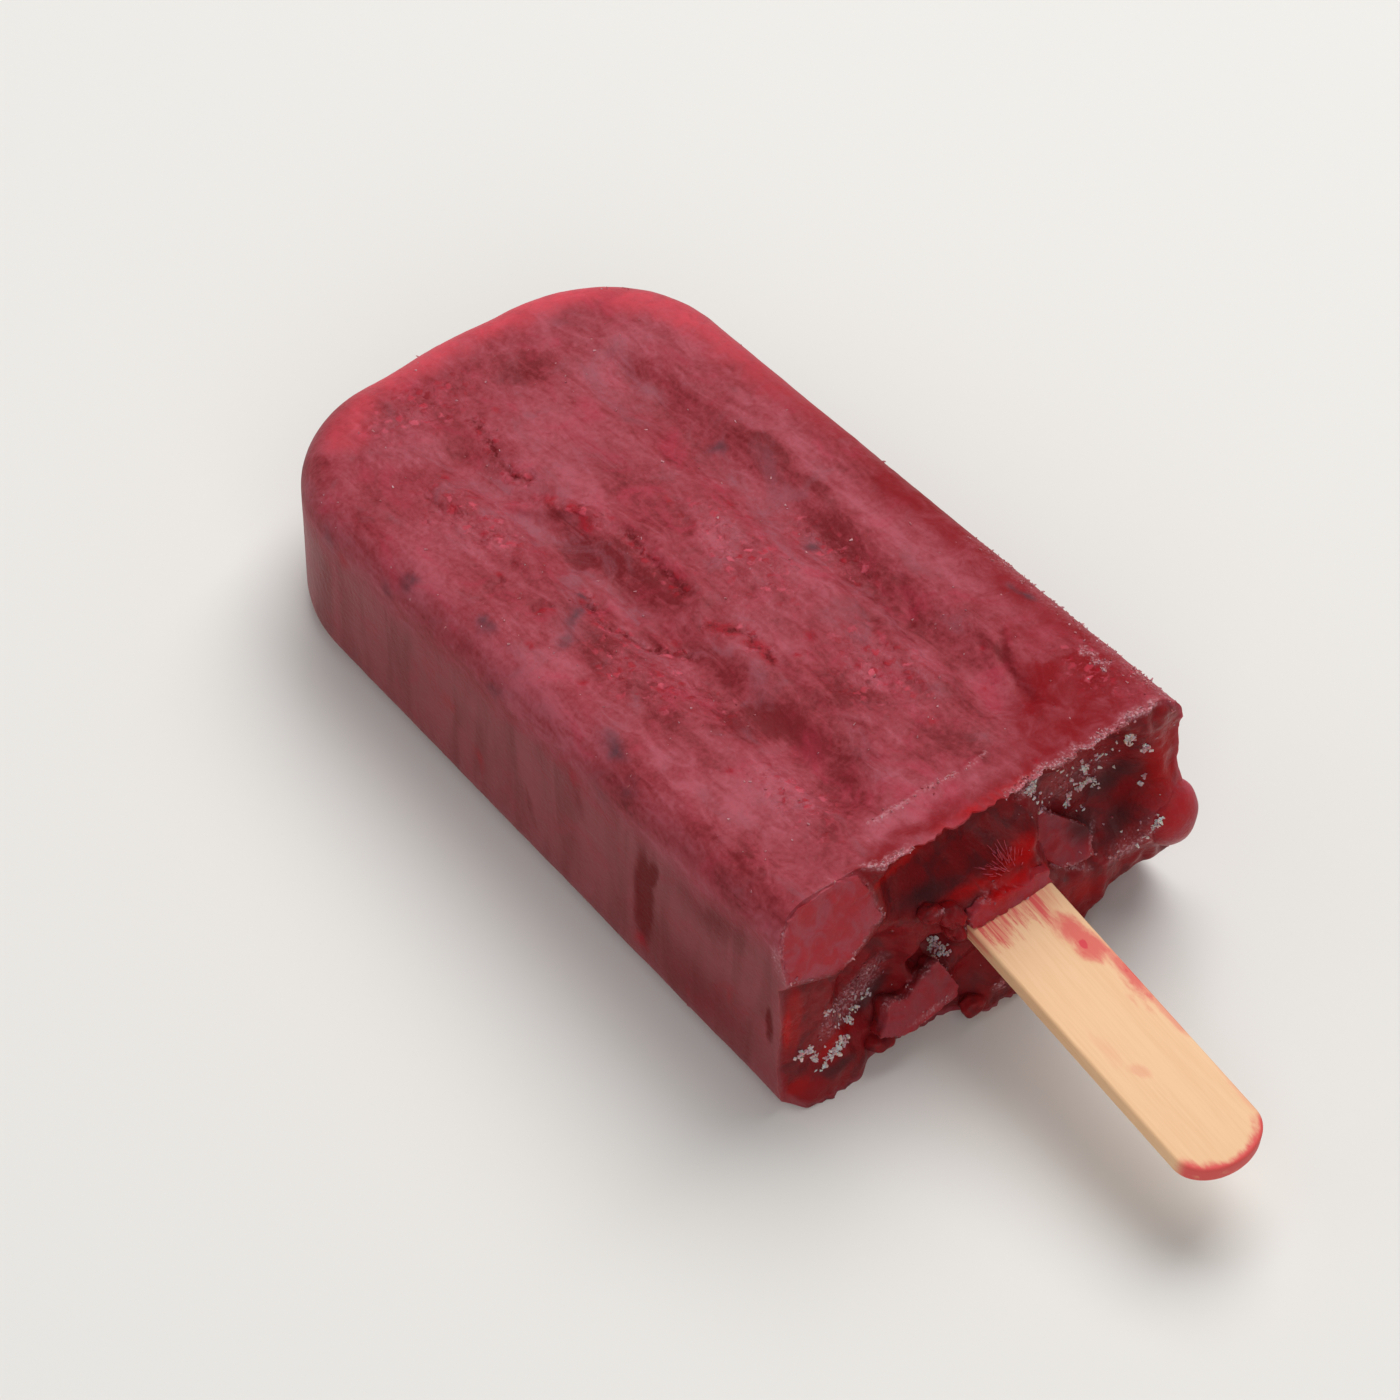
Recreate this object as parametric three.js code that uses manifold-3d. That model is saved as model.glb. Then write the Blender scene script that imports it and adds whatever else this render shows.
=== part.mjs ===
// Ice pop lying on its broad face: a tapered block of frozen berry puree on a flat wooden stick.
// The end that the stick comes out of is broken, with hollows, lifted flakes and a lip of ice.
//
// Millimetres, +Z up. The origin is on the resting surface under the middle of the block, and +X
// points from the rounded tip of the block to the stick.
import * as THREE from "three";
import { mergeVertices } from "three/addons/utils/BufferGeometryUtils.js";
import Module from "manifold-3d";

const wasm = await Module();
wasm.setup();

// The block, as its mould shaped it. It gets thicker towards the stick.
const blockLength = 89.7;
const blockWidth = 49.2;
const thicknessAtTip = 20.0;
const thicknessAtStick = 28.2;
const tipCornerRadius = 16.2;
const tipCrown = 0.5;
const sideEdgeRadius = 4.2;
const tipEdgeRadius = 5.1;
const bottomEdgeRadius = 3.0;

// The two flutes that the mould presses into each broad face
const fluteCentres = [-9.2, 10.6];
const fluteHalfWidth = 5.0;
const fluteDepth = 1.3;
const fluteStart = -32;
const fluteEnd = 39.5;
const handWaviness = 0.14;

// The stick: a flat wooden one with blunt rounded ends, tilted a little down towards its free end
const stickLength = 93;
const stickWidth = 10;
const stickThickness = 2;
const stickEndDepth = 3.6;
const stickBevel = 0.3;
const stickReach = 37.5;
const stickSide = 1.6;
const stickHeight = 14.1;
const stickTilt = THREE.MathUtils.degToRad(6.7);
const stickTurn = THREE.MathUtils.degToRad(-0.6);
const slotClearance = 0.3;

// The broken end. Each hollow and swelling is an ellipse on the end face, where y is across and z
// is up, with how far it goes in or comes out there.
const brokenReach = 8;
const rimThickness = 0.8;
const rimJag = 0.22;
const hollows = [
  { name: "step above the stick", y: -1.5, z: 23.6, halfY: 13.5, halfZ: 7.4, depth: 4.6 },
  { name: "slope right of the stick", y: 14, z: 18.5, halfY: 8.2, halfZ: 10.5, depth: 3.6 },
  { name: "frosty dip on the left", y: -13.2, z: 11.5, halfY: 5.6, halfZ: 8.5, depth: 2.4 },
  { name: "gap beside the stick", y: -5.6, z: 10.2, halfY: 3.4, halfZ: 3.6, depth: 3.2 },
];
const hollowsThroughRim = [
  { name: "worn upper left corner", y: -21.5, z: 31, halfY: 8, halfZ: 14, depth: 2.2 },
  { name: "undercut at the lower right", y: 21.5, z: -1, halfY: 9, halfZ: 6, depth: 3.0 },
];
const swellings = [
  { name: "lip round the stick", y: 1.4, z: 14.2, halfY: 9.4, halfZ: 5.0, depth: 3.0 },
  { name: "left foot", y: -18.5, z: 0.5, halfY: 5.5, halfZ: 5, depth: 1.5 },
  { name: "foot under the stick", y: 1.6, z: 1.5, halfY: 5.5, halfZ: 6.5, depth: 2.4 },
  { name: "right corner", y: 22.5, z: 12, halfY: 4.5, halfZ: 6.5, depth: 1.8 },
];
const hollowSoftness = 0.55;

// Flakes on the broken end: where the middle is, how far out, how many degrees each leans back,
// and the corners of its outline round that middle
const flakeJag = 0.3;
const jagsPerFlakeEdge = 3;
const flakes = [
  {
    name: "smooth flake over the upper left corner",
    y: -18.5,
    z: 22.9,
    out: 0.6,
    lean: 17,
    thickness: 3.0,
    seed: 5,
    corners: [
      [-2.4, -5.2],
      [1.0, -5.6],
      [5.4, -3.6],
      [6.6, -2.2],
      [4.4, 3.0],
      [3.2, 5.4],
      [-1.8, 5.2],
      [-4.6, 3.2],
      [-5.7, 0.4],
      [-5.7, -3.4],
    ],
  },
  {
    name: "loose shard below and left of the stick",
    y: -7.9,
    z: 6.6,
    out: 2.1,
    lean: 24,
    thickness: 2.2,
    seed: 11,
    corners: [
      [-3.9, -2.6],
      [3.6, -2.8],
      [3.9, -1.2],
      [1.5, 3.8],
      [0.2, 3.4],
      [-4.4, 0.8],
    ],
  },
  {
    name: "glassy plate right of the stick",
    y: 11.8,
    z: 12.6,
    out: -0.6,
    lean: 24,
    thickness: 2.2,
    seed: 23,
    corners: [
      [-3.4, -1.4],
      [0.4, -5.0],
      [2.3, -6.4],
      [2.6, 1.6],
      [-1.2, 5.4],
      [-3.4, 7.4],
      [-5.0, 5.0],
      [-4.0, 2.4],
    ],
  },
  {
    name: "raised lip along the top of the stick, with the lumps left of it",
    y: 1.7,
    z: 16.2,
    out: 3.0,
    lean: 14,
    thickness: 2.4,
    seed: 31,
    corners: [
      [-9.0, -0.6],
      [4.7, -1.4],
      [4.4, 0.8],
      [1.5, 1.1],
      [-2.0, 1.9],
      [-4.6, 2.1],
      [-6.8, 2.7],
      [-9.0, 1.4],
    ],
  },
];
const frozenDrop = { y: 23.7, z: 11.4, out: 1.3, halfX: 2.5, halfY: 2.4, halfZ: 4.2 };
const splinterSize = 0.75;
const splinterBands = [
  { name: "left dip", fromY: -18.5, fromZ: 4.2, toY: -9.5, toZ: 14, count: 7 },
  { name: "under the rim", fromY: 6.5, fromZ: 23.5, toY: 17, toZ: 24.5, count: 5 },
];

// How finely the block is divided
const stepsAlong = 30;
const stepsAcross = 28;
const wallSteps = 11;
const topEdgeSteps = 4;
const bottomEdgeSteps = 2;

const halfLength = blockLength / 2;
const halfWidth = blockWidth / 2;
const tipFlat = halfWidth - tipCornerRadius;
const rows = bottomEdgeSteps + wallSteps + topEdgeSteps;

function smoothStep(value) {
  const t = Math.min(1, Math.max(0, value));
  return t * t * (3 - 2 * t);
}

// A number from 0 to 1 that depends on a whole number alone
function seededRandom(seed) {
  const wave = Math.sin(seed * 127.1 + 311.7) * 43758.5453;
  return wave - Math.floor(wave);
}

// Uneven jags along a line, from -1 to 1, about one for each unit of the position
function jag(position, seed) {
  const cell = Math.floor(position);
  const before = seededRandom(cell + seed);
  const after = seededRandom(cell + 1 + seed);
  return 2 * (before + (after - before) * (position - cell)) - 1;
}

// Height of the flat top before its flutes, which rises towards the stick
function taperedHeight(x) {
  const share = (x + halfLength) / blockLength;
  return thicknessAtTip + (thicknessAtStick - thicknessAtTip) * share;
}

// Depth of the mould's flutes, which have round ends
function fluteCut(x, y) {
  const firstAxisPoint = fluteStart + fluteHalfWidth;
  const lastAxisPoint = fluteEnd - fluteHalfWidth;
  const pastEnds = x - THREE.MathUtils.clamp(x, firstAxisPoint, lastAxisPoint);
  let cut = 0;
  for (const centre of fluteCentres) {
    const away = Math.min(1, Math.hypot(pastEnds, y - centre) / fluteHalfWidth);
    cut += Math.cos((away * Math.PI) / 2) ** 2;
  }
  return fluteDepth * cut;
}

// Height of the top face, slightly wavy as hand-poured ice is
function topHeight(x, y) {
  const waves = Math.sin(x / 5.3 + y / 9.1) + Math.sin(x / 8.7 - y / 4.1 + 2);
  return taperedHeight(x) - fluteCut(x, y) + handWaviness * waves;
}

// Point of the block's outline in plan, seen from above, at a distance along it. It starts at the
// stick end on the -Y side, runs round the tip and comes back on the +Y side.
function outlinePoint(distance) {
  const straight = blockLength - tipCornerRadius;
  const corner = (tipCornerRadius * Math.PI) / 2;
  const half = straight + corner + tipFlat;
  if (distance > half) {
    const mirrored = outlinePoint(2 * half - distance);
    return { x: mirrored.x, y: -mirrored.y, outX: mirrored.outX, outY: -mirrored.outY };
  }
  if (distance < straight) {
    return { x: halfLength - distance, y: -halfWidth, outX: 0, outY: -1 };
  }
  if (distance < straight + corner) {
    const turn = (distance - straight) / tipCornerRadius;
    const outX = -Math.sin(turn);
    const outY = -Math.cos(turn);
    const x = -halfLength + tipCornerRadius + tipCornerRadius * outX;
    return { x, y: -tipFlat + tipCornerRadius * outY, outX, outY };
  }
  const y = -tipFlat + distance - straight - corner;
  const crown = tipCrown * Math.cos(((y / tipFlat) * Math.PI) / 2) ** 2;
  return { x: -halfLength - crown, y, outX: -1, outY: 0 };
}

// Distance along the outline of each column of the side wall: sides and tip are divided evenly
function columnDistance(column) {
  const sideLength = blockLength - tipCornerRadius + (tipCornerRadius * Math.PI) / 4;
  const tipLength = (tipCornerRadius * Math.PI) / 2 + 2 * tipFlat;
  if (column <= stepsAlong) return (sideLength * column) / stepsAlong;
  const onTip = column - stepsAlong;
  if (onTip <= stepsAcross) return sideLength + (tipLength * onTip) / stepsAcross;
  return sideLength + tipLength + (sideLength * (onTip - stepsAcross)) / stepsAlong;
}

// Point of the side wall: rounded at its foot, upright, and rounded over into the top
function wallPoint(column, row) {
  const edge = outlinePoint(columnDistance(column));
  const topRadius = sideEdgeRadius + (tipEdgeRadius - sideEdgeRadius) * edge.outX ** 2;
  const topRow = row - bottomEdgeSteps - wallSteps;
  const bottomAngle = (Math.min(row, bottomEdgeSteps) / bottomEdgeSteps) * (Math.PI / 2);
  const topAngle = (Math.max(topRow, 0) / topEdgeSteps) * (Math.PI / 2);
  const inset =
    bottomEdgeRadius * (1 - Math.sin(bottomAngle)) + topRadius * (1 - Math.cos(topAngle));
  const x = edge.x - edge.outX * inset;
  const y = edge.y - edge.outY * inset;
  if (row < bottomEdgeSteps) {
    return new THREE.Vector3(x, y, bottomEdgeRadius * (1 - Math.cos(bottomAngle)));
  }
  const shoulder = topHeight(x, y) - topRadius;
  if (topRow > 0) return new THREE.Vector3(x, y, shoulder + topRadius * Math.sin(topAngle));
  const share = (row - bottomEdgeSteps) / wallSteps;
  return new THREE.Vector3(x, y, bottomEdgeRadius + (shoulder - bottomEdgeRadius) * share);
}

// How far a hollow or a swelling is felt at a place on the end face, from 0 to 1
function feltAt(place, y, z) {
  const away = Math.hypot((y - place.y) / place.halfY, (z - place.z) / place.halfZ);
  return smoothStep((1 - away) / hollowSoftness);
}

// Distance of a place on the end face from that face's own edge
function distanceToRim(y, z) {
  const radius = sideEdgeRadius;
  const overY = Math.abs(y) - halfWidth + radius;
  const overZ = Math.abs(z - thicknessAtStick / 2) - thicknessAtStick / 2 + radius;
  const outside = Math.hypot(Math.max(overY, 0), Math.max(overZ, 0));
  return radius - outside - Math.min(Math.max(overY, overZ), 0);
}

// How far the broken end stands out from a flat cut across the block
function brokenOffset(y, z) {
  let offset = 0.4 + rimJag * (jag(y / 1.3, 3) + jag(y / 3.1, 40));
  const insideRim = smoothStep(distanceToRim(y, z) / rimThickness);
  for (const hollow of hollows) offset -= insideRim * hollow.depth * feltAt(hollow, y, z);
  for (const hollow of hollowsThroughRim) offset -= hollow.depth * feltAt(hollow, y, z);
  for (const swelling of swellings) offset += swelling.depth * feltAt(swelling, y, z);
  return offset;
}

// Moves a point of the moulded form to where the broken end left it
function breakEnd(point) {
  const fromCut = halfLength - point.x;
  if (fromCut > brokenReach) return point;
  const felt = smoothStep(1 - fromCut / brokenReach);
  point.x += felt * brokenOffset(point.y, point.z);
  return point;
}

// Point inside a four-sided patch whose edges are given: the two directions are blended
function patchPoint(start, end, left, right, corners, u, v) {
  const along = start.clone().lerp(end, u);
  const across = left.clone().lerp(right, v);
  const fromCorners = corners[0]
    .clone()
    .lerp(corners[1], u)
    .lerp(corners[2].clone().lerp(corners[3], u), v);
  return along.add(across).sub(fromCorners);
}

// The whole block as one closed surface: a side wall round three sides, a top, a bottom and the
// broken end. Neighbouring faces share their edge points.
function blockGeometry() {
  const points = [];
  const triangles = [];
  const add = (point) => points.push(breakEnd(point)) - 1;
  const quad = (a, b, c, d) => triangles.push(a, b, c, a, c, d);
  const lastColumn = 2 * stepsAlong + stepsAcross;

  const wall = [];
  for (let column = 0; column <= lastColumn; column++) {
    wall.push([]);
    for (let row = 0; row <= rows; row++) wall[column].push(add(wallPoint(column, row)));
  }

  // A lid is the top or the bottom. Its grid ends on one row of the wall.
  function lid(row, heightAt) {
    const grid = [];
    const cornerPoints = [0, stepsAlong, lastColumn, stepsAlong + stepsAcross].map((column) =>
      wallPoint(column, row),
    );
    for (let i = 0; i <= stepsAlong; i++) {
      grid.push([]);
      for (let j = 0; j <= stepsAcross; j++) {
        if (j === 0) grid[i].push(wall[i][row]);
        else if (j === stepsAcross) grid[i].push(wall[lastColumn - i][row]);
        else if (i === stepsAlong) grid[i].push(wall[stepsAlong + j][row]);
        else {
          const u = i / stepsAlong;
          const v = j / stepsAcross;
          const start = cornerPoints[0].clone().lerp(cornerPoints[2], v);
          const end = wallPoint(stepsAlong + j, row);
          const left = wallPoint(i, row);
          const right = wallPoint(lastColumn - i, row);
          const point = patchPoint(start, end, left, right, cornerPoints, u, v);
          point.z = heightAt(point.x, point.y);
          grid[i].push(add(point));
        }
      }
    }
    return grid;
  }
  const top = lid(rows, topHeight);
  const bottom = lid(0, fluteCut);

  const face = [];
  const faceCorners = [
    wallPoint(0, 0),
    wallPoint(0, rows),
    wallPoint(lastColumn, 0),
    wallPoint(lastColumn, rows),
  ];
  for (let j = 0; j <= stepsAcross; j++) {
    face.push([]);
    for (let row = 0; row <= rows; row++) {
      if (j === 0) face[j].push(wall[0][row]);
      else if (j === stepsAcross) face[j].push(wall[lastColumn][row]);
      else if (row === 0) face[j].push(bottom[0][j]);
      else if (row === rows) face[j].push(top[0][j]);
      else {
        const v = j / stepsAcross;
        const low = faceCorners[0].clone().lerp(faceCorners[2], v);
        const high = faceCorners[1].clone().lerp(faceCorners[3], v);
        const left = wallPoint(0, row);
        const right = wallPoint(lastColumn, row);
        const point = patchPoint(low, high, left, right, faceCorners, row / rows, v);
        face[j].push(add(point));
      }
    }
  }

  for (let column = 0; column < lastColumn; column++) {
    for (let row = 0; row < rows; row++) {
      const next = wall[column + 1];
      quad(wall[column][row], wall[column][row + 1], next[row + 1], next[row]);
    }
  }
  for (let i = 0; i < stepsAlong; i++) {
    for (let j = 0; j < stepsAcross; j++) {
      quad(top[i][j], top[i][j + 1], top[i + 1][j + 1], top[i + 1][j]);
      quad(bottom[i][j], bottom[i + 1][j], bottom[i + 1][j + 1], bottom[i][j + 1]);
    }
  }
  for (let j = 0; j < stepsAcross; j++) {
    for (let row = 0; row < rows; row++) {
      quad(face[j][row], face[j + 1][row], face[j + 1][row + 1], face[j][row + 1]);
    }
  }
  const geometry = new THREE.BufferGeometry().setFromPoints(points);
  return geometry.setIndex(triangles);
}

// A thin flake of ice on the end face. Its jagged outline runs across and up from its middle, and
// it leans back from upright.
function flakeGeometry({ y, z, out, lean, thickness, seed, corners }) {
  const outline = [];
  corners.forEach(([x0, y0], n) => {
    const [x1, y1] = corners[(n + 1) % corners.length];
    outline.push(new THREE.Vector2(x0, y0));
    for (let k = 1; k < jagsPerFlakeEdge; k++) {
      const share = k / jagsPerFlakeEdge;
      const shift = flakeJag * (2 * seededRandom(seed + 7 * n + k) - 1);
      outline.push(new THREE.Vector2(x0 + (x1 - x0) * share + shift, y0 + (y1 - y0) * share - shift));
    }
  });
  const settings = { depth: thickness, bevelEnabled: false };
  const geometry = new THREE.ExtrudeGeometry(new THREE.Shape(outline), settings);
  geometry.translate(0, 0, -thickness);
  const angle = THREE.MathUtils.degToRad(lean);
  const across = new THREE.Vector3(0, 1, 0);
  const up = new THREE.Vector3(-Math.sin(angle), 0, Math.cos(angle));
  const placement = new THREE.Matrix4().makeBasis(across, up, across.clone().cross(up));
  placement.setPosition(halfLength + out, y, z);
  return geometry.applyMatrix4(placement);
}

// A drop that ran down and froze again on the right corner
function dropGeometry() {
  const geometry = new THREE.SphereGeometry(1, 14, 9);
  geometry.scale(frozenDrop.halfX, frozenDrop.halfY, frozenDrop.halfZ);
  return geometry.translate(halfLength + frozenDrop.out, frozenDrop.y, frozenDrop.z);
}

// Clear white splinters that stick to the broken face in bands
function splinterGeometries() {
  const geometries = [];
  let seed = 100;
  for (const { fromY, toY, fromZ, toZ, count } of splinterBands) {
    for (let n = 0; n < count; n++) {
      const share = (n + 0.5) / count;
      const size = splinterSize * (0.75 + 0.65 * seededRandom(seed++));
      const y = fromY + (toY - fromY) * share + seededRandom(seed++);
      const z = fromZ + (toZ - fromZ) * share - seededRandom(seed++);
      const geometry = new THREE.OctahedronGeometry(1);
      geometry.scale(size, size * 0.8, size * 1.5);
      geometry.rotateX(2 * seededRandom(seed++));
      geometries.push(geometry.translate(halfLength + brokenOffset(y, z), y, z));
    }
  }
  return geometries;
}

// Outline of the stick from above: straight sides and blunt half-oval ends
function stickOutline(grow) {
  const half = stickWidth / 2 + grow;
  const inner = stickReach - stickLength - grow;
  const outer = stickReach + grow;
  const outline = new THREE.Shape();
  outline.absellipse(outer - stickEndDepth, 0, stickEndDepth, half, -Math.PI / 2, Math.PI / 2);
  outline.absellipse(inner + stickEndDepth, 0, stickEndDepth, half, Math.PI / 2, Math.PI * 1.5);
  return outline;
}

function stickGeometry() {
  const outline = stickOutline(-stickBevel);
  const geometry = new THREE.ExtrudeGeometry(outline, {
    depth: stickThickness - 2 * stickBevel,
    curveSegments: 12,
    bevelThickness: stickBevel,
    bevelSize: stickBevel,
    bevelSegments: 2,
  });
  return geometry.translate(0, 0, -stickThickness / 2 + stickBevel);
}

// The space that the stick and its clearance take out of the block
function slotGeometry(placement) {
  const geometry = new THREE.ExtrudeGeometry(stickOutline(slotClearance), {
    depth: stickThickness + 2 * slotClearance,
    curveSegments: 8,
    bevelEnabled: false,
  });
  geometry.translate(0, 0, -stickThickness / 2 - slotClearance);
  return geometry.applyMatrix4(placement);
}

// A closed three.js geometry as a solid that can be joined and cut
function solidOf(geometry) {
  const bare = geometry.clone();
  bare.deleteAttribute("normal");
  bare.deleteAttribute("uv");
  const merged = mergeVertices(bare, 1e-4);
  const mesh = new wasm.Mesh({
    numProp: 3,
    vertProperties: new Float32Array(merged.attributes.position.array),
    triVerts: new Uint32Array(merged.index.array),
  });
  return new wasm.Manifold(mesh);
}

function geometryOf(solid) {
  const mesh = solid.getMesh();
  const geometry = new THREE.BufferGeometry();
  geometry.setAttribute("position", new THREE.BufferAttribute(mesh.vertProperties, 3));
  geometry.setIndex(new THREE.BufferAttribute(mesh.triVerts, 1));
  geometry.computeVertexNormals();
  return geometry;
}

// The block with everything that froze onto it, and with the slot that holds the stick
function frozenBlock(stickPlacement) {
  const frozenOn = [...flakes.map(flakeGeometry), dropGeometry(), ...splinterGeometries()];
  let solid = solidOf(blockGeometry());
  for (const piece of frozenOn) solid = solid.add(solidOf(piece));
  solid = solid.subtract(solidOf(slotGeometry(stickPlacement)));
  return geometryOf(solid);
}

const berryIce = new THREE.MeshStandardMaterial({ color: 0x93303f, roughness: 0.5 });
const birch = new THREE.MeshStandardMaterial({ color: 0xe2c091, roughness: 0.7 });

const stick = new THREE.Mesh(stickGeometry(), birch);
stick.name = "stick";
stick.position.set(halfLength, stickSide, stickHeight);
stick.rotation.set(0, stickTilt, stickTurn, "ZYX");
stick.updateMatrix();

const block = new THREE.Mesh(frozenBlock(stick.matrix), berryIce);
block.name = "frozen_block";

const group = new THREE.Group();
group.add(block, stick);

export default group;
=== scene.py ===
"""The looks of a frozen berry ice pop on a flat wooden stick, laid out as a Blender add-on.

Lengths in the tables and in the functions below are in millimetres. Meshes are in metres, in the
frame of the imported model: +X from the rounded tip to the stick, +Z up from the resting surface.
"""

import collections
import itertools
import math

import bmesh
import bpy
import numpy as np
from bpy.props import FloatProperty, FloatVectorProperty, IntProperty, PointerProperty
from mathutils import Euler, Matrix, Vector


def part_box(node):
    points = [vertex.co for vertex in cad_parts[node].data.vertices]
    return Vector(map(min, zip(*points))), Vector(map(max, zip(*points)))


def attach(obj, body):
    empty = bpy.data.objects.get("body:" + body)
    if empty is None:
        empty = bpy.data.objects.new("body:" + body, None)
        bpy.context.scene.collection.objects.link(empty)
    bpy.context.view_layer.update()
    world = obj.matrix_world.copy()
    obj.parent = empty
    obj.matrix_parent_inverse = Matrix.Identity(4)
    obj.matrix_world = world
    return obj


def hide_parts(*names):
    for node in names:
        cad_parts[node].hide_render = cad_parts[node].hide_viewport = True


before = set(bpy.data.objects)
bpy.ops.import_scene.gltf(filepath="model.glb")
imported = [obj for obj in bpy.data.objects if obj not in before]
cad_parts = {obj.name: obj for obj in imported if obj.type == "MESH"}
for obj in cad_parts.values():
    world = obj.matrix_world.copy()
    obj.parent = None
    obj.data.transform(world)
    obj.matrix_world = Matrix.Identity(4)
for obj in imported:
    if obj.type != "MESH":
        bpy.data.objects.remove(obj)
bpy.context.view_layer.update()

bl_info = {
    "name": "Berry ice pop",
    "version": (1, 0, 0),
    "blender": (4, 5, 0),
    "location": "View3D > Sidebar > Ice pop",
    "description": "Builds a frozen berry ice pop with a broken end on a flat wooden stick",
    "category": "Add Mesh",
}

MM = 0.001
BOX_LOW, BOX_HIGH = (np.array(corner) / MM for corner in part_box("frozen_block"))

# The two flutes that the mould presses into each broad face, by where their middles are across,
# and what y and its mirror image add up to, so that the flutes of both faces are opposite
FLUTE_CENTRES = (-9.2, 10.6)
FLUTES_MIRROR = 1.4

# The broken end. Each hollow and swelling is an ellipse on the end face: y, z, half width, half
# height and how far it goes in or comes out there.
HOLLOWS = (
    ("step above the stick", -1.5, 23.6, 13.5, 7.4, 4.6),
    ("slope right of the stick", 14, 18.5, 8.2, 10.5, 3.6),
    ("frosty dip on the left", -13.2, 11.5, 5.6, 8.5, 2.4),
    ("gap beside the stick", -5.6, 10.2, 3.4, 3.6, 3.2),
)
HOLLOWS_THROUGH_RIM = (
    ("worn upper left corner", -21.5, 31, 8, 14, 2.2),
    ("undercut at the lower right", 21.5, -1, 9, 6, 3.0),
)
SWELLINGS = (
    ("lip round the stick", 1.6, 13.8, 8.2, 4.6, 2.5),
    ("left foot", -18.5, 0.5, 5.5, 5, 1.5),
    ("foot under the stick", 1.6, 1.5, 5.5, 6.5, 2.4),
    ("right corner", 22.5, 12, 4.5, 6.5, 1.8),
)

# Flakes on the broken end: y and z of the middle, how far out, how many degrees each leans back,
# thickness, how jagged, seed, how pale, how frosted its edge is, and the corners of its outline,
# across and up from that middle
Flake = collections.namedtuple("Flake", (
    "name", "y", "z", "out", "lean", "thickness", "jagged", "seed", "pale", "edge_frost", "corners",
))
FLAKES = (
    Flake(
        "smooth flake over the upper left corner", -18.5, 22.9, 0.6, 17, 3.0, 0.34, 5, 0.9, 0.7,
        ((-0.6, -4.2), (2.4, -3.1), (5.6, -1.1), (5.0, 2.3), (4.0, 5.0), (0.6, 5.4), (-3.0, 5.1),
         (-5.1, 3.5), (-5.9, 1.2), (-5.9, -2.4)),
    ),
    Flake(
        "loose shard below and left of the stick", -7.9, 6.6, 2.1, 24, 2.2, 0.22, 11, 0.5, 0.8,
        ((-6.0, -1.2), (-3.1, -2.4), (3.4, -1.9), (3.9, -0.6), (3.3, 1.3), (2.4, 3.3), (1.5, 3.1),
         (-2.1, 1.4), (-3.8, 1.9)),
    ),
    Flake(
        "glassy plate right of the stick", 10.5, 13.7, -0.3, 24, 2.2, 0.2, 23, 0.45, 1.0,
        ((-0.2, -2.3), (3.5, -2.7), (3.9, 0.4), (1.2, 3.0), (-1.9, 5.8), (-2.9, 4.9), (-3.8, 3.0),
         (-2.6, 0.3)),
    ),
    Flake(
        "raised lip along the top of the stick", 1.7, 16.0, 3.0, 10, 1.4, 0.3, 31, 0.8, 0.5,
        ((-5.2, -1.2), (4.8, -1.5), (4.9, 0.5), (3.3, 1.0), (1.5, 0.5), (-0.4, 1.0), (-2.4, 0.7),
         (-3.7, 1.2), (-5.0, 0.8)),
    ),
)

# Lumps that froze onto the broken end: y, z, how far out, half sizes and how uneven each is
LUMPS = (
    ("drop that ran down the right corner", 23.2, 11.5, 1.2, (2.6, 2.9, 4.2), 0.04),
    ("lump beside the lip", -5.0, 16.6, 1.5, (1.5, 1.5, 1.1), 0.3),
    ("upper lump", -6.8, 17.6, 0.8, (1.3, 1.3, 0.9), 0.3),
    ("lower lump", -4.6, 14.6, 1.6, (1.4, 1.0, 1.3), 0.3),
    ("lump on the left foot", -12.6, 2.6, 0.6, (1.4, 1.5, 1.2), 0.2),
    ("lump under the stick", -2.4, 2.2, 2.4, (1.3, 1.5, 1.1), 0.3),
    ("lump on the right foot", 6.4, 2.4, 2.4, (1.2, 2.0, 1.2), 0.25),
)

# Relief of the upper face, as lines of x, y points: cracks and grooves go in, folds stand up
CRACKS = (
    ((-31, -4.9), (-27.5, -5.3), (-24, -6.6), (-21.5, -6.6), (-19.8, -5.9)),
    ((-7, -3), (-4, -3.7), (-0.5, -3.8), (3.4, -4.1)),
    ((8.4, -4.9), (10.4, -4.0), (10.9, -3.2), (12.7, -2.7), (13.6, -3.6), (15.0, -2.6), (16.6, -3.4)),
    ((-3, -11), (-0.8, -12.0), (1.3, -12.7), (4.2, -11.6), (6.3, -11), (8.4, -9.2), (9.9, -8.4)),
)
GROOVES = (
    ((27.8, 16.0), (28.8, 15.2), (30.1, 14.4), (33.2, 13.2), (36.6, 12.5), (38.6, 13.4)),
    ((14.8, 13.7), (17.5, 12.6), (20.6, 10.8)),
)
FOLDS = (
    ((-19, -9.5), (-16, -7.2), (-12.5, -4.6), (-9, -2.4), (-5, -1.6), (0, -2.4), (5, -3.0)),
    ((-31, 11.4), (-29, 9.6), (-26.4, 9.0), (-24, 9.7), (-22.8, 11.2)),
    ((-6, -9.4), (-3.6, -9.8), (0, -10.6), (3.4, -10.4), (6.4, -9.2)),
    ((-24, -13.5), (-20, -12.2), (-15, -11.6), (-10, -12.6)),
    ((12, 7.4), (16, 8.6), (20, 8.0), (25, 7.0), (30, 7.8)),
    ((18, -1.2), (23, -2.4), (28, -2.0), (33, -3.2)),
)
SCRATCHES = (
    ((39.6, 4.4), (40.2, 1.6)),
    ((40.3, 0.4), (39.9, -3.4), (40.0, -9.9)),
)
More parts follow.
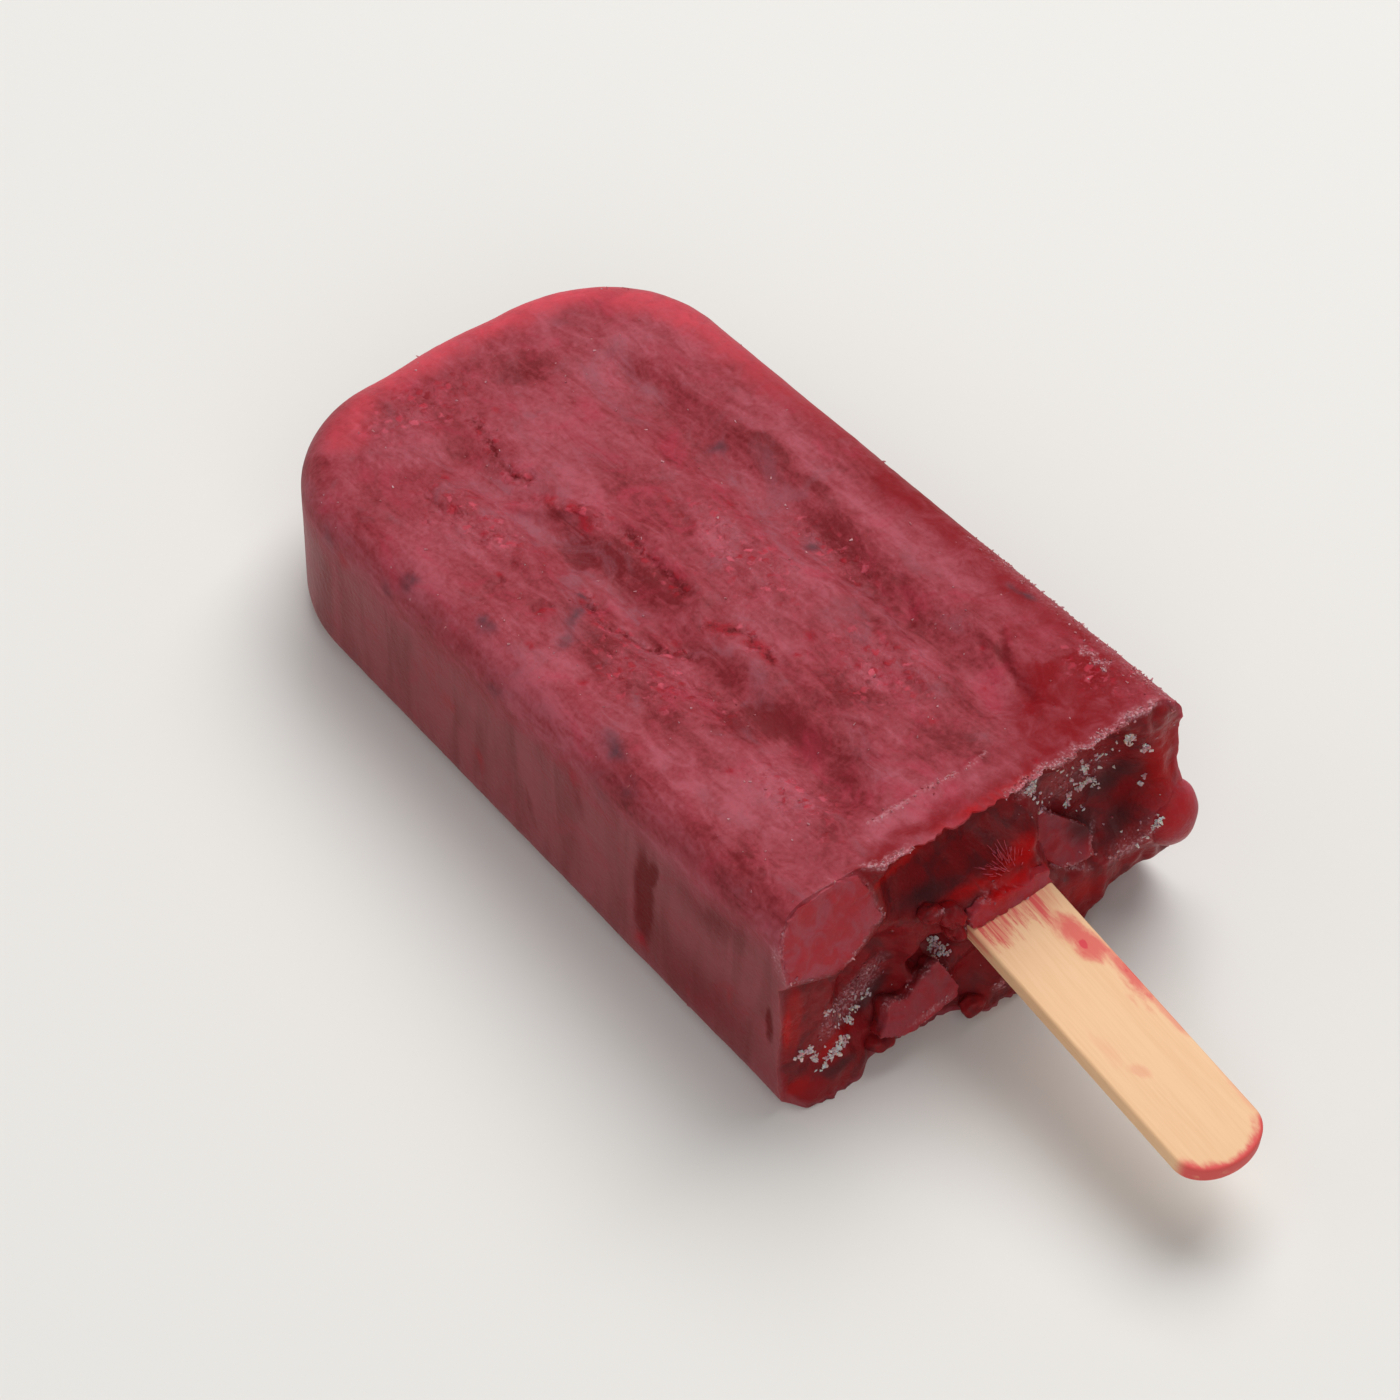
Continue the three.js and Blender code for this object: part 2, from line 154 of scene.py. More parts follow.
PITS = (
    (-20.2, -5.8, 1.0, 0.5), (-3.9, -16.2, 1.0, 0.7), (-3.1, -15.3, 0.7, 0.5),
    (-2.9, -11.9, 0.9, 0.8), (-9.8, -3.2, 0.8, 0.4), (-8.2, 2.9, 0.7, 0.3), (-25.8, -12.0, 0.8, 0.4),
    (-21.1, -14.5, 0.8, 0.4), (-16.4, -14.2, 0.8, 0.3), (-0.5, -20.0, 1.0, 0.3),
    (7.0, -19.2, 0.9, 0.4), (10.7, -12.8, 0.8, 0.3), (12.9, -14.2, 0.8, 0.3), (16.0, 1.7, 0.9, 0.5),
    (17.6, -1.1, 0.7, 0.3), (25.8, -15.7, 0.8, 0.3), (-4.2, 7.5, 0.7, 0.3), (-1.5, 7.7, 0.6, 0.3),
    (-14.0, -17.0, 0.5, 0.3), (-10.6, -16.4, 0.6, 0.4), (7.5, -8.3, 0.7, 0.3), (28.1, 13.5, 0.6, 0.4),
    (32.1, 10.6, 0.5, 0.4), (12.6, 10.4, 0.5, 0.3), (43.6, 7.4, 0.6, 0.4), (33.0, 3.2, 0.8, 0.4),
    (-30.4, -2.4, 0.8, 0.3), (22.4, 2.6, 0.7, 0.3),
)

# Marks in the ice under the upper face. Bands are lines of x, y points with a half width and a
# strength; patches are x, y, half length, half width and turn in degrees. The clear bands are dark
# clear ice and also painted shade on the flute walls that face away from the light; some haze
# patches are painted light on the flute walls and ridges that face it.
CLEAR_AND_SHADE_BANDS = (
    (((-25, 13.2), (-15, 13.0)), 3.2, 0.55), (((-12, 14.2), (0, 14.4), (9, 12.6)), 3.0, 0.75),
    (((12, 11.6), (20, 11.4), (28, 10.6)), 3.0, 0.5), (((22, 21.4), (27, 20.8)), 2.4, 0.6),
    (((-32, -7.2), (-28, -8.2), (-24, -6.8)), 3.0, 0.7),
    (((-13, -7.0), (-8, -6.9), (-3, -5.8), (3, -5.0)), 3.0, 0.85),
    (((5, -10.6), (9, -7.4), (14, -7.1)), 2.6, 0.5),
    (((20.5, -10.6), (23.6, -7.4), (27.5, -6.8)), 3.8, 1.0), (((31.5, -7.0), (38, -10.6)), 3.8, 0.8),
    (((34.6, 2.0), (38.4, 4.2)), 3.2, 0.7), (((30, 8.2), (38, 7.0)), 2.6, 0.5),
    (((-22, 0), (-18, 1.6)), 3.0, 0.35), (((-8, 2.2), (-4, 1.0)), 2.2, 0.5),
    (((2.5, -15.6), (6.4, -17.4)), 2.4, 0.6), (((-35, 2.0), (-31, 5.0)), 3.4, 0.5),
    (((24, -0.6), (28, 1.6)), 2.8, 0.5),
    (((28.3, 16.6), (29.4, 14.9), (32.4, 13.4), (36.4, 13.0), (38.7, 12.2)), 0.7, 0.8),
    (((14.8, 13.7), (17.5, 12.8), (20.3, 10.8)), 1.0, 0.45),
)
# Bare edges that lost their frost; round the tip they take the painted light of the thin tip ice
BARE_BANDS = (
    (((-36, 18), (-30, 21.5), (0, 23.4), (30, 23)), 4.0, 0.8),
    (((33, 22), (41, 18), (43.2, 10)), 6.6, 1.0), (((-42.5, -9), (-43.5, 4), (-39.5, 17)), 4.6, 0.9),
    (((43.8, 6), (44, -14)), 1.8, 0.9), (((4, 22.8), (36, 21.4)), 5.0, 0.9),
    (((24, 18.6), (34, 17.2)), 3.0, 0.5), (((-42, -10), (-37, -17)), 3.2, 0.6),
    (((34, 16.4), (40, 11)), 4.4, 1.0),
)
MIST_BANDS = (
    (((-24.6, -7.8), (-21.2, -7.7)), 1.6, 0.9),
    (((-18.4, -12.0), (-16.4, -9.8), (-12.9, -9.2), (-10.5, -6.8)), 1.3, 0.8),
    (((-5.4, -12.5), (-6.5, -9.7), (-2.7, -8.8), (0.5, -8.7), (4.2, -8.9)), 1.5, 1.0),
    (((9.1, -8.0), (12.4, -5.2), (17.1, -5.4)), 1.2, 0.7),
    (((0.8, -17.6), (-0.8, -13.9), (-2.1, -11.9)), 1.3, 0.8),
    (((-6.0, -10.0), (-3.5, -13.4), (-0.8, -16.7)), 1.2, 0.7),
    (((-11.8, 10.7), (-5.9, 10.4), (2.9, 7.7), (7.9, 6.5)), 1.3, 0.8),
    (((4.6, 10.6), (8.2, 9.4)), 1.8, 0.8), (((5.8, -11.6), (8.0, -12.6)), 1.6, 0.8),
    (((12, -20.4), (15, -21.4)), 2.2, 0.6), (((-27.6, 12.6), (-21, 11.4)), 1.6, 0.6),
    (((-20.6, 0.6), (-16, 1.4)), 2.6, 0.5), (((14, 10.2), (22, 8.6)), 1.6, 0.5),
    (((28, -3.6), (36, -4.8)), 1.8, 0.5), (((24.6, 5.8), (31, 6.0)), 1.8, 0.5),
)
PULP_LINES = (
    ((-16.4, -6.5), (-14.3, -5.4), (-11.9, -5.1), (-10.5, -5.6)),
    ((8.5, -4.9), (10.3, -3.7), (11.8, -3.3), (14.3, -2.7), (16.2, -3.1)),
)
SKIN_SPOTS = (
    (-5.1, -21.9, 2.4, 1.5, 0), (15.8, -22.4, 2.8, 1.2, -8), (-1.2, -14.4, 3.2, 1.4, -62),
    (-12.7, 12.1, 1.5, 1.2, 0), (24.6, 21.3, 2.0, 0.9, 0), (-3.4, -11.9, 1.1, 0.7, 0),
    (20.2, -23.9, 2.2, 1.0, 0), (5.4, 10.4, 1.7, 1.1, 0), (-15.9, -24.0, 1.8, 1.0, 0),
    (0.9, -17.6, 2.4, 1.1, -60),
)
# Frost haze; some of these patches are painted light on flute walls and ridges that face the light
HAZE_AND_LIT_PATCHES = (
    (-25, 1.6, 13, 6.4, 0), (-2.0, -9.9, 6.0, 1.8, -4), (-27.5, 10.0, 4.6, 1.6, -6),
    (0, 17.2, 30, 2.0, 0), (33, 15.8, 4.4, 2.0, -22), (15, -19.5, 16, 3.4, 0),
    (31, -15.5, 11, 5.4, 0), (-6, -22.6, 34, 3.4, 0), (-33, -12.6, 7.0, 5.0, 0),
    (-2, 3.6, 9.0, 3.6, 0), (25, 3.0, 8.0, 4.0, 0), (24, 8.6, 8.0, 2.0, -6),
    (-14, -8.9, 5.0, 1.5, 30), (41.6, -4, 1.6, 11, 0), (14, -1.4, 7, 1.6, 0), (-36, 8.6, 4, 3, 0),
)
ROUGH_ZONES = (
    (2.5, 3.5, 15, 5.4, 0), (-18, -14.0, 13, 4.6, 4), (14, -11.5, 9, 4.0, 10), (38, 20.0, 9, 4.6, 0),
    (24, 4.0, 10, 6.0, 0), (10, -14.5, 11, 5.0, 0), (33, -13.0, 11, 4.0, 0), (-36, -8.0, 6, 10.0, 0),
    (8, 11.5, 12, 3.0, 0), (-13, -5.4, 6, 2.0, 25),
)

# Marks on the left side, by x and z: streaks and softer shades of dark ice, bits of skin and bits
# of fruit. The right side has the same ones turned end for end, with their x adding up to this.
SIDES_TURN = -6
SIDE_STREAKS = (
    (23.9, 12.0, 2.0, 9.6, 0), (25.2, 16.5, 1.2, 3.4, -20), (43.6, 12.0, 0.8, 3.4, 0),
)
SIDE_SHADES = (
    (13.4, 16.4, 1.4, 4.4, 16), (5.2, 8.6, 0.9, 4.8, 10), (33.5, 7.0, 14.5, 8.0, 0),
    (34.5, 19.4, 9.0, 3.4, 18),
)
SIDE_SKINS = (
    (-18.6, 19.2, 1.0, 1.7, 0), (-0.4, 20.5, 2.4, 1.2, 35), (7.0, 17.5, 2.0, 1.4, 0),
    (17.5, 21.0, 1.8, 1.5, 0), (-28.5, 18.0, 1.2, 1.6, 0),
)
SIDE_BERRIES = (
    (-8.7, 11.5, 1.5, 1.3, 0), (-3.7, 7.6, 1.3, 0.9, 20), (23.4, 5.0, 1.5, 1.4, 0),
    (31.0, 4.6, 0.7, 0.6, 0), (37.6, 10.4, 0.7, 0.5, 0), (-26.2, 17.0, 1.4, 1.2, 0),
    (12.8, 19.4, 1.0, 1.3, 0),
)

# Frost along the rim of the broken end by y and z, and on the upper face by x and y
RIM_FROST = (((4, 28.2), (20, 28.0)), ((-12.4, 28.4), (-10.6, 28.3)))
EDGE_FROST = (((16, 24.2), (30, 24.4), (43, 24.2)),)
SQUIGGLE = (((34.6, 20.9), (35.3, 20.0), (36.1, 20.9), (37.0, 20.2), (37.7, 20.9), (38.6, 20.0)),)

# Marks on the broken end, where a look from the photo's side meets the plane of the break: y, z,
# half sizes and turn in degrees. That look moves this far in y and z for each millimetre inwards.
LOOK_ACROSS, LOOK_UP = 0.78, 1.48
FEATHER_PLACE = (2.8, 17.2, 2.6, 1.7, 0)
FACE_FROST = (
    (-15.3, 10.9, 6.8, 2.7, 42), (5.6, 26.2, 2.0, 1.8, 0), (19.3, 7.8, 4.4, 1.3, 12),
    (12.5, 9.6, 3.8, 0.7, -42), (-4.4, 15.8, 1.8, 0.8, 0), (2.4, 14.9, 3.2, 0.6, 0),
    (-9.6, 6.1, 1.0, 0.6, 0), (-5.5, 1.4, 3.6, 0.7, 6), (3.0, -1.4, 1.2, 1.0, 0),
    (14.2, 13.6, 0.4, 3.4, -8),
)
SPARSE_CRUMBS = ((11.5, 23.6, 8.5, 3.8, 0), (-15.5, 10, 6.5, 2.4, 42), (19, 9, 5.0, 2.4, 15))
SMOKE = (
    (-6.5, 19.6, 6.2, 2.8, -15), (13.0, 15.4, 2.6, 4.6, 28), (17.4, 13.2, 2.8, 4.6, 0),
    (-13.6, 9.2, 5.6, 1.8, 42), (16.0, 20.5, 5.0, 3.0, 0), (-16.8, 1.4, 3.0, 1.5, 0),
)
RED_GLOW = (
    (3.4, 13.0, 6.6, 2.9, 0), (0.4, 16.4, 7.2, 1.7, -6), (5.8, 16.2, 1.4, 1.8, 0),
    (4.6, 17.6, 3.6, 3.4, 0), (-23.4, 12.0, 0.9, 4.4, 0), (-10.2, 26.4, 4.4, 1.0, 18),
)
DIM_GLOW = (
    (22.6, 18.5, 3.4, 9.6, 0), (-22.8, 13.0, 1.7, 6.6, 0), (-2.6, 28.6, 4.6, 0.8, 4),
    (-22.0, 2.0, 2.8, 2.2, 0), (0, 28.4, 9.0, 1.4, 0), (24.4, 8.6, 3.4, 4.6, 0),
    (-17.5, 5.5, 4.5, 2.0, 40), (13, 5.5, 5.0, 3.0, -20),
)
ICE_BITS = (
    (-17.8, 3.9, 2.6, 0.9, 38), (-21.4, 6.6, 1.1, 0.6, 10), (-5.2, 10.8, 2.2, 0.9, 108),
    (-15.4, 8.4, 0.8, 0.6, 0), (-3.9, 8.9, 1.1, 0.6, 150), (13.2, 21.6, 1.4, 0.5, -10),
    (14.7, 20.6, 0.8, 0.4, -50), (-20.2, 4.9, 0.8, 0.5, 60), (11.3, 20.9, 1.1, 0.5, 80),
    (12.9, 24.4, 0.8, 0.4, 110), (15.0, 24.4, 0.5, 0.3, 40), (18.4, 24.8, 0.7, 0.5, 90),
    (6.3, 25.6, 1.4, 0.8, -60), (-13.8, 9.9, 0.8, 0.5, 10), (-15.9, 7.6, 0.7, 0.4, 120),
    (20.2, 17.9, 0.6, 0.5, 0), (22.4, 9.2, 1.0, 0.6, 70), (20.4, 21.6, 0.5, 0.4, 30),
    (12.6, 18.2, 0.5, 0.4, 0), (-18.6, 11.0, 0.5, 0.4, 0),
)

# Where the looks of the block meet: how far below the top its duller, wetter sides start, which are
# also painted darker as shade, how far along the block its broken look and the marks on the break
# start, from what height on flakes hide the glow, and the pale drop on the right corner, as y, z and
# half sizes
DULL_BELOW = 3.4
BROKEN_FROM, BREAK_MARKS_FROM = 36, 39
GLOW_HIDDEN_ABOVE = 18.2
PALE_DROP = (23.4, 11.6, 2.8, 4.0)

# Where the needles of the feather point away from, as x, y, z
FEATHER_ROOT = (45.4, 4.2, 14.6)

# Juice stains in the wood, in the stick's own frame: x along it from the break, y across, half
# sizes, turn in degrees and strength
STAINS = (
    (9.4, 3.3, 4.6, 2.0, 14, 0.8), (10.2, 2.9, 0.9, 0.6, 0, 1.0), (15.0, 4.6, 4.8, 1.5, -4, 0.8),
    (14.9, 4.5, 0.9, 0.6, 0, 0.9), (20.5, 4.9, 5.0, 0.8, 0, 0.45), (24.4, -1.7, 1.6, 0.8, 35, 0.22),
    (31, 4.8, 4.0, 0.5, 0, 0.2), (21, -2.8, 3.0, 0.8, 0, 0.12),
)

# Flakes are rebuilt from cells of this size. The block is thinned to this many triangles, and loose
# bits with fewer faces are taken out. Edges are sharp from so many degrees on.
FLAKE_CELL = 0.24
MOST_TRIANGLES = 190000
FEWEST_FACES = 20
SHARP_ICE, SHARP_WOOD = 50, 35


# Properties

def length_property(name, description, millimetres):
    return FloatProperty(
        name=name, description=description, default=millimetres * MM,
        subtype="DISTANCE", unit="LENGTH", precision=4,
    )


def angle_property(name, description, degrees):
    return FloatProperty(
        name=name, description=description, default=math.radians(degrees),
        subtype="ANGLE", unit="ROTATION",
    )


def linear(hex_colour):
    """An sRGB hex colour as linear red, green and blue."""
    channels = [int(hex_colour[i:i + 2], 16) / 255 for i in (1, 3, 5)]
    return [c / 12.92 if c <= 0.04045 else ((c + 0.055) / 1.055) ** 2.4 for c in channels]


def colour_property(name, description, hex_colour):
    return FloatVectorProperty(
        name=name, description=description, default=linear(hex_colour),
        subtype="COLOR", size=3, min=0, max=1,
    )


class IcePopSizes(bpy.types.PropertyGroup):
    """Sizes of the moulded block and of the stick."""

    length: length_property("Block length", "From the flat of the tip to the stick end", 89.7)
    width: length_property("Block width", "Across the two long sides", 49.2)
    tip_thickness: length_property("Thickness at the tip", "Where the mould is thinnest", 20.0)
    stick_end_thickness: length_property("Thickness at the stick", "Where the mould is open", 28.2)
    tip_corner_radius: length_property("Tip corner radius", "Of the outline from above", 16.2)
    tip_crown: length_property("Tip crown", "How far the end of the tip bulges", 0.5)
    side_edge_radius: length_property("Side edge radius", "Rounding along the upper sides", 4.2)
    tip_edge_radius: length_property("Tip edge radius", "Rounding over the tip", 5.1)
    bottom_edge_radius: length_property("Bottom edge radius", "Rounding of the foot", 3.0)
    flute_depth: length_property("Flute depth", "Depth of the two flutes of a broad face", 1.3)
    flute_half_width: length_property("Flute half width", "Half the width of a flute", 5.0)
    flute_start: length_property("Flute start", "Place of the flutes' end near the tip", -32)
    flute_end: length_property("Flute end", "Place of the flutes' end near the stick", 39.5)
    waviness: length_property("Waviness", "Height of the slow waves of the upper face", 0.14)
    broken_reach: length_property("Broken reach", "How far the break is felt along the block", 8)
    rim_thickness: length_property("Rim thickness", "Ice left between hollows and skin", 0.8)
    stick_length: length_property("Stick length", "The whole stick", 93)
    stick_width: length_property("Stick width", "Across the flat of the stick", 10)
    stick_thickness: length_property("Stick thickness", "Through the stick", 2)
    stick_end_depth: length_property("Stick end depth", "Length of its rounded end", 3.6)
    stick_bevel: length_property("Stick edge", "Rounding of its sanded edges", 0.34)
    stick_reach: length_property("Stick reach", "How much of it is outside the block", 37.5)
    stick_side: length_property("Stick side", "How far it is to the right of the middle", 1.6)
    stick_height: length_property("Stick height", "Height of its middle where it enters", 14.1)
    stick_tilt: angle_property("Stick tilt", "How far it points down", 6.7)
    stick_turn: angle_property("Stick turn", "How far it points aside", -0.6)


class IcePopLooks(bpy.types.PropertyGroup):
    """Colours of the ice and the wood, and the frost on them."""

    frosted: colour_property("Frosted puree", "Upper face under its film of frost", "#A54E5A")
    puree: colour_property("Bare puree", "Where the frost is thin", "#8E323B")
    # Also painted shade: this dark colour is laid on the flute walls that face away from the light
    clear_ice_and_shade: colour_property("Clear berry ice", "Dark ice with few bubbles", "#701A20")
    bare_ice: colour_property("Bare ice", "Red edges that lost their frost", "#7E1219")
    # Painted light: the tip's red edges drawn brighter, as where light shines through them from behind
    lit_ice: colour_property("Thin tip ice", "Red edges where the tip is thin", "#CC4A56")
    # Duller, wetter ice of the lower sides, also painted darker as shade on the sides
    side_ice_and_shade: colour_property("Side ice", "Dull lower part of the sides", "#8C4448")
    deep_ice: colour_property("Deep side ice", "Dark clear ice of the sides", "#661416")
    berry_pulp: colour_property("Berry pulp", "Bright bits of pulp", "#981222")
    berry_skin: colour_property("Berry skin", "Blue-black bits of skin", "#4A3038")
    pink_grain: colour_property("Pink grain", "Frosted bits of pulp", "#CC5566")
    ripe_ice: colour_property("Ripe berry ice", "Redder patches of the puree", "#AC3046")
    mist: colour_property("Grey haze", "Streaks of bubbles beside the cracks", "#8C4E58")
    crack: colour_property("Crack", "Wet ice in the cracks", "#640C14")
    broken_ice: colour_property("Broken ice", "Dark wet ice of the break", "#82191D")
    smoky_ice: colour_property("Smoky ice", "Hazy ice of the break", "#4A2225")
    flake_ice: colour_property("Flake ice", "Smooth flakes on the break", "#AA343C")
    thin_ice: colour_property("Thin ice", "Where light comes through", "#B20A0C")
    frost: colour_property("Frost", "Film and grains of frost", "#C49299")
    ice_bits: colour_property("Ice bits", "White crumbs of water ice", "#DCCECA")
    birch: colour_property("Birch", "Sanded wood of the stick", "#E7BB90")
    grain: colour_property("Birch grain", "Darker lines of the wood", "#E2B487")
    stain: colour_property("Berry stain", "Juice that ran into the wood", "#D02A38")
    grain_size: length_property("Frost grain size", "Radius of a grain of frost", 0.11)
    grain_density: FloatProperty(
        name="Frost density", description="Grains for each square millimetre of full frost",
        default=7.0, min=0,
    )
    crumb_size: length_property("Crumb size", "Radius of a crumb of water ice", 0.21)
    crumb_density: FloatProperty(
        name="Crumb density", description="Crumbs for each square millimetre of an ice bit",
        default=15.0, min=0,
    )
    needle_size: length_property("Needle size", "Radius of a feather crystal", 0.065)
    needle_length: length_property("Needle length", "Of a feather crystal above the stick", 1.1)
    needle_density: FloatProperty(
        name="Needle density", description="Needles for each square millimetre of the feather",
        default=14.0, min=0,
    )
    seed: IntProperty(name="Seed", description="Seed of all that is scattered", default=7)


# Numbers and noise

def smooth_step(value):
    """A value kept from 0 to 1, and eased at both ends."""
    t = np.clip(value, 0, 1)
    return t * t * (3 - 2 * t)


def seeded_random(seed):
    """A number from 0 to 1 that depends on a whole number alone."""
    wave = np.sin(seed * 127.1 + 311.7) * 43758.5453
    return wave - np.floor(wave)


def jag(position, seed):
    """Uneven jags along a line, from -1 to 1, about one for each unit of the position."""
    cell = np.floor(position)
    before = seeded_random(cell + seed)
    after = seeded_random(cell + 1 + seed)
    return 2 * (before + (after - before) * (position - cell)) - 1


def noise(points, size, seed):
    """Smooth noise from -1 to 1 at points of 2 or 3 coordinates, with cells of that size."""
    cells = points / size + 31.7 * seed
    low = np.floor(cells)
    share = smooth_step(cells - low)
    keys = np.array((1.0, 57.0, 113.0))[:points.shape[-1]]
    value = 0
    for corner in itertools.product((0, 1), repeat=points.shape[-1]):
        weight = np.prod(np.where(corner, share, 1 - share), axis=-1)
        value = value + weight * seeded_random((low + corner) @ keys + seed)
    return 2 * value - 1


def rough(points, size, seed, octaves=3):
    """Noise with finer and finer detail added."""
    return sum(noise(points, size / 2 ** k, seed + k) / 2 ** k for k in range(octaves))


def ellipses(u, v, marks, edge=0.6):
    """How far places are inside any of the marks, from 0 to 1."""
    felt = np.zeros(np.shape(u))
    for middle_u, middle_v, half_u, half_v, turn in marks:
        c, s = math.cos(math.radians(turn)), math.sin(math.radians(turn))
        along = ((u - middle_u) * c + (v - middle_v) * s) / half_u
        across = ((v - middle_v) * c - (u - middle_u) * s) / half_v
        felt = np.maximum(felt, smooth_step((1 - np.hypot(along, across)) / edge))
    return felt


def distance_to_lines(u, v, lines):
    """Distance from places to the nearest of the lines."""
    nearest = np.full(np.shape(u), 1e9)
    for line in lines:
        for (u0, v0), (u1, v1) in zip(line, line[1:]):
            du, dv = u1 - u0, v1 - v0
            share = np.clip(((u - u0) * du + (v - v0) * dv) / (du * du + dv * dv), 0, 1)
            nearest = np.minimum(nearest, np.hypot(u - u0 - share * du, v - v0 - share * dv))
    return nearest


def bands(u, v, marks):
    """How far places are on any of the soft bands along lines, from 0 to the band's strength."""
    felt = np.zeros(np.shape(u))
    for line, half_width, strength in marks:
        away = distance_to_lines(u, v, [line])
        felt = np.maximum(felt, strength * smooth_step(1.1 - away / half_width))
    return felt


def depth_inside(u, v, corners):
    """Distance to the outline with those corners, negative outside it."""
    inside = np.zeros(np.shape(u), bool)
    for (u0, v0), (u1, v1) in zip(corners, corners[1:] + corners[:1]):
        crossed = (v0 > v) != (v1 > v)
        inside ^= crossed & (u < u0 + (v - v0) / (v1 - v0 or 1e-9) * (u1 - u0))
    away = distance_to_lines(u, v, [(*corners, corners[0])])
    return np.where(inside, away, -away)


def between(start, end, share):
    return start * (1 - share) + end * share


# The form of the block

class Block:
    """The moulded block and its broken end, as functions of places in millimetres."""

    def __init__(self, sizes):
        for name in sizes.bl_rna.properties.keys():
            if isinstance(getattr(sizes, name), float):
                setattr(self, name, getattr(sizes, name) / MM)
        self.half_length = self.length / 2
        self.half_width = self.width / 2
        self.tip_flat = self.half_width - self.tip_corner_radius

    def flute_cut(self, x, y):
        """How deep the flutes are."""
        first, last = self.flute_start + self.flute_half_width, self.flute_end - self.flute_half_width
        past_ends = x - np.clip(x, first, last)
        cut = 0
        for centre in FLUTE_CENTRES:
            away = np.minimum(1, np.hypot(past_ends, y - centre) / self.flute_half_width)
            cut = cut + np.cos(away * math.pi / 2) ** 2
        return self.flute_depth * cut

    def top_height(self, x, y):
        """Height of the upper face: it rises towards the stick, with flutes and slow waves."""
        share = (x + self.half_length) / self.length
        flat = self.tip_thickness + (self.stick_end_thickness - self.tip_thickness) * share
        waves = np.sin(x / 5.3 + y / 9.1) + np.sin(x / 8.7 - y / 4.1 + 2)
        waves = waves * smooth_step((self.half_width - np.abs(y)) / 9)
        return flat - self.flute_cut(x, y) + self.waviness * waves

    def outline(self, distance):
        """Places and outward directions along the outline from above, round by the tip."""
        radius = self.tip_corner_radius
        straight = self.length - radius
        corner = radius * math.pi / 2
        half = straight + corner + self.tip_flat
        side = np.where(distance > half, -1, 1)
        run = np.where(distance > half, 2 * half - distance, distance)
        turn = np.clip((run - straight) / radius, 0, math.pi / 2)
        out_x, out_y = -np.sin(turn), -np.cos(turn)
        on_tip = np.maximum(run - straight - corner, 0)
        y = -self.tip_flat + radius * out_y + on_tip
        crown = self.tip_crown * np.cos(np.clip(y / self.tip_flat, -1, 1) * math.pi / 2) ** 2
        x = -self.half_length + radius + radius * out_x + np.maximum(straight - run, 0) - crown
        return x, side * y, out_x, side * out_y

    def wall(self, columns, rows):
        """Points of the side wall. A row is its share of the foot, of the wall and of the top edge."""
        foot, upright, edge = (np.array(part)[None, :] for part in rows)
        x, y, out_x, out_y = (part[:, None] for part in self.outline(columns))
        top_radius = self.side_edge_radius + (self.tip_edge_radius - self.side_edge_radius) * out_x**2
        foot_angle, edge_angle = foot * math.pi / 2, edge * math.pi / 2
        inset = self.bottom_edge_radius * (1 - np.sin(foot_angle))
        inset = inset + top_radius * (1 - np.cos(edge_angle))
        x, y = x - out_x * inset, y - out_y * inset
        shoulder = self.top_height(x, y) - top_radius
        z = self.bottom_edge_radius * (1 - np.cos(foot_angle))
        z = z + (shoulder - self.bottom_edge_radius) * upright + top_radius * np.sin(edge_angle)
        return np.stack((x, y, z), axis=-1)

    def distance_to_rim(self, y, z):
        """How far places of the cut are inside its rounded outline."""
        radius = self.side_edge_radius
        half_height = self.stick_end_thickness / 2
        over_y = np.abs(y) - self.half_width + radius
        over_z = np.abs(z - half_height) - half_height + radius
        outside = np.hypot(np.maximum(over_y, 0), np.maximum(over_z, 0))
        return radius - outside - np.minimum(np.maximum(over_y, over_z), 0)

    def broken_offset(self, y, z):
        """How far the broken end stands out from a flat cut across the block."""
        places = np.stack((y, z), axis=-1)
        offset = 0.4 + 0.22 * (jag(y / 1.3, 3) + jag(y / 3.1, 40))
        inside_rim = smooth_step(self.distance_to_rim(y, z) / self.rim_thickness)
        for marks, share in ((HOLLOWS, -inside_rim), (HOLLOWS_THROUGH_RIM, -1), (SWELLINGS, 1)):
            for _, *ellipse, depth in marks:
                offset = offset + share * depth * ellipses(y, z, [(*ellipse, 0)], 0.55)
        fracture = 0.30 * rough(places, 3.4, 5, 4) + 0.22 * np.abs(rough(places, 1.6, 12, 2))
        serration = 0.28 * jag(y / 0.55, 71) * smooth_step(1 - self.distance_to_rim(y, z) / 1.2)
        offset = offset + fracture - 0.1 + serration
        upper = FLAKES[0]
        lean = math.radians(upper.lean)
        inside = depth_inside(y - upper.y, (z - upper.z) / math.cos(lean), upper.corners)
        under_flake = upper.out - 0.16 - math.tan(lean) * (z - upper.z)
        return between(offset, under_flake, smooth_step(1.1 + inside / 2.0))

    def break_end(self, points):
        """The points with those near the cut moved to where the break is."""
        from_cut = self.half_length - points[:, 0]
        felt = smooth_step(1 - from_cut / self.broken_reach)
        moved = points.copy()
        moved[:, 0] += felt * self.broken_offset(points[:, 1], points[:, 2])
        return moved


def patch(low, high, left, right):
    """Points of a four-sided patch whose edges are given: low and high run across, the others up."""
    u = np.linspace(0, 1, len(left))[:, None, None]
    v = np.linspace(0, 1, len(low))[None, :, None]
    along = between(low[None], high[None], u)
    across = between(left[:, None], right[:, None], v)
    first, last = (between(low[end][None, None], high[end][None, None], u) for end in (0, -1))
    return along + across - between(first, last, v)


def quads(indices):
    """Four-cornered faces between the rows and columns of a grid of point numbers."""
    a, b = indices[:-1, :-1], indices[1:, :-1]
    c, d = indices[1:, 1:], indices[:-1, 1:]
    return np.stack((a, b, c, d), axis=-1).reshape(-1, 4)


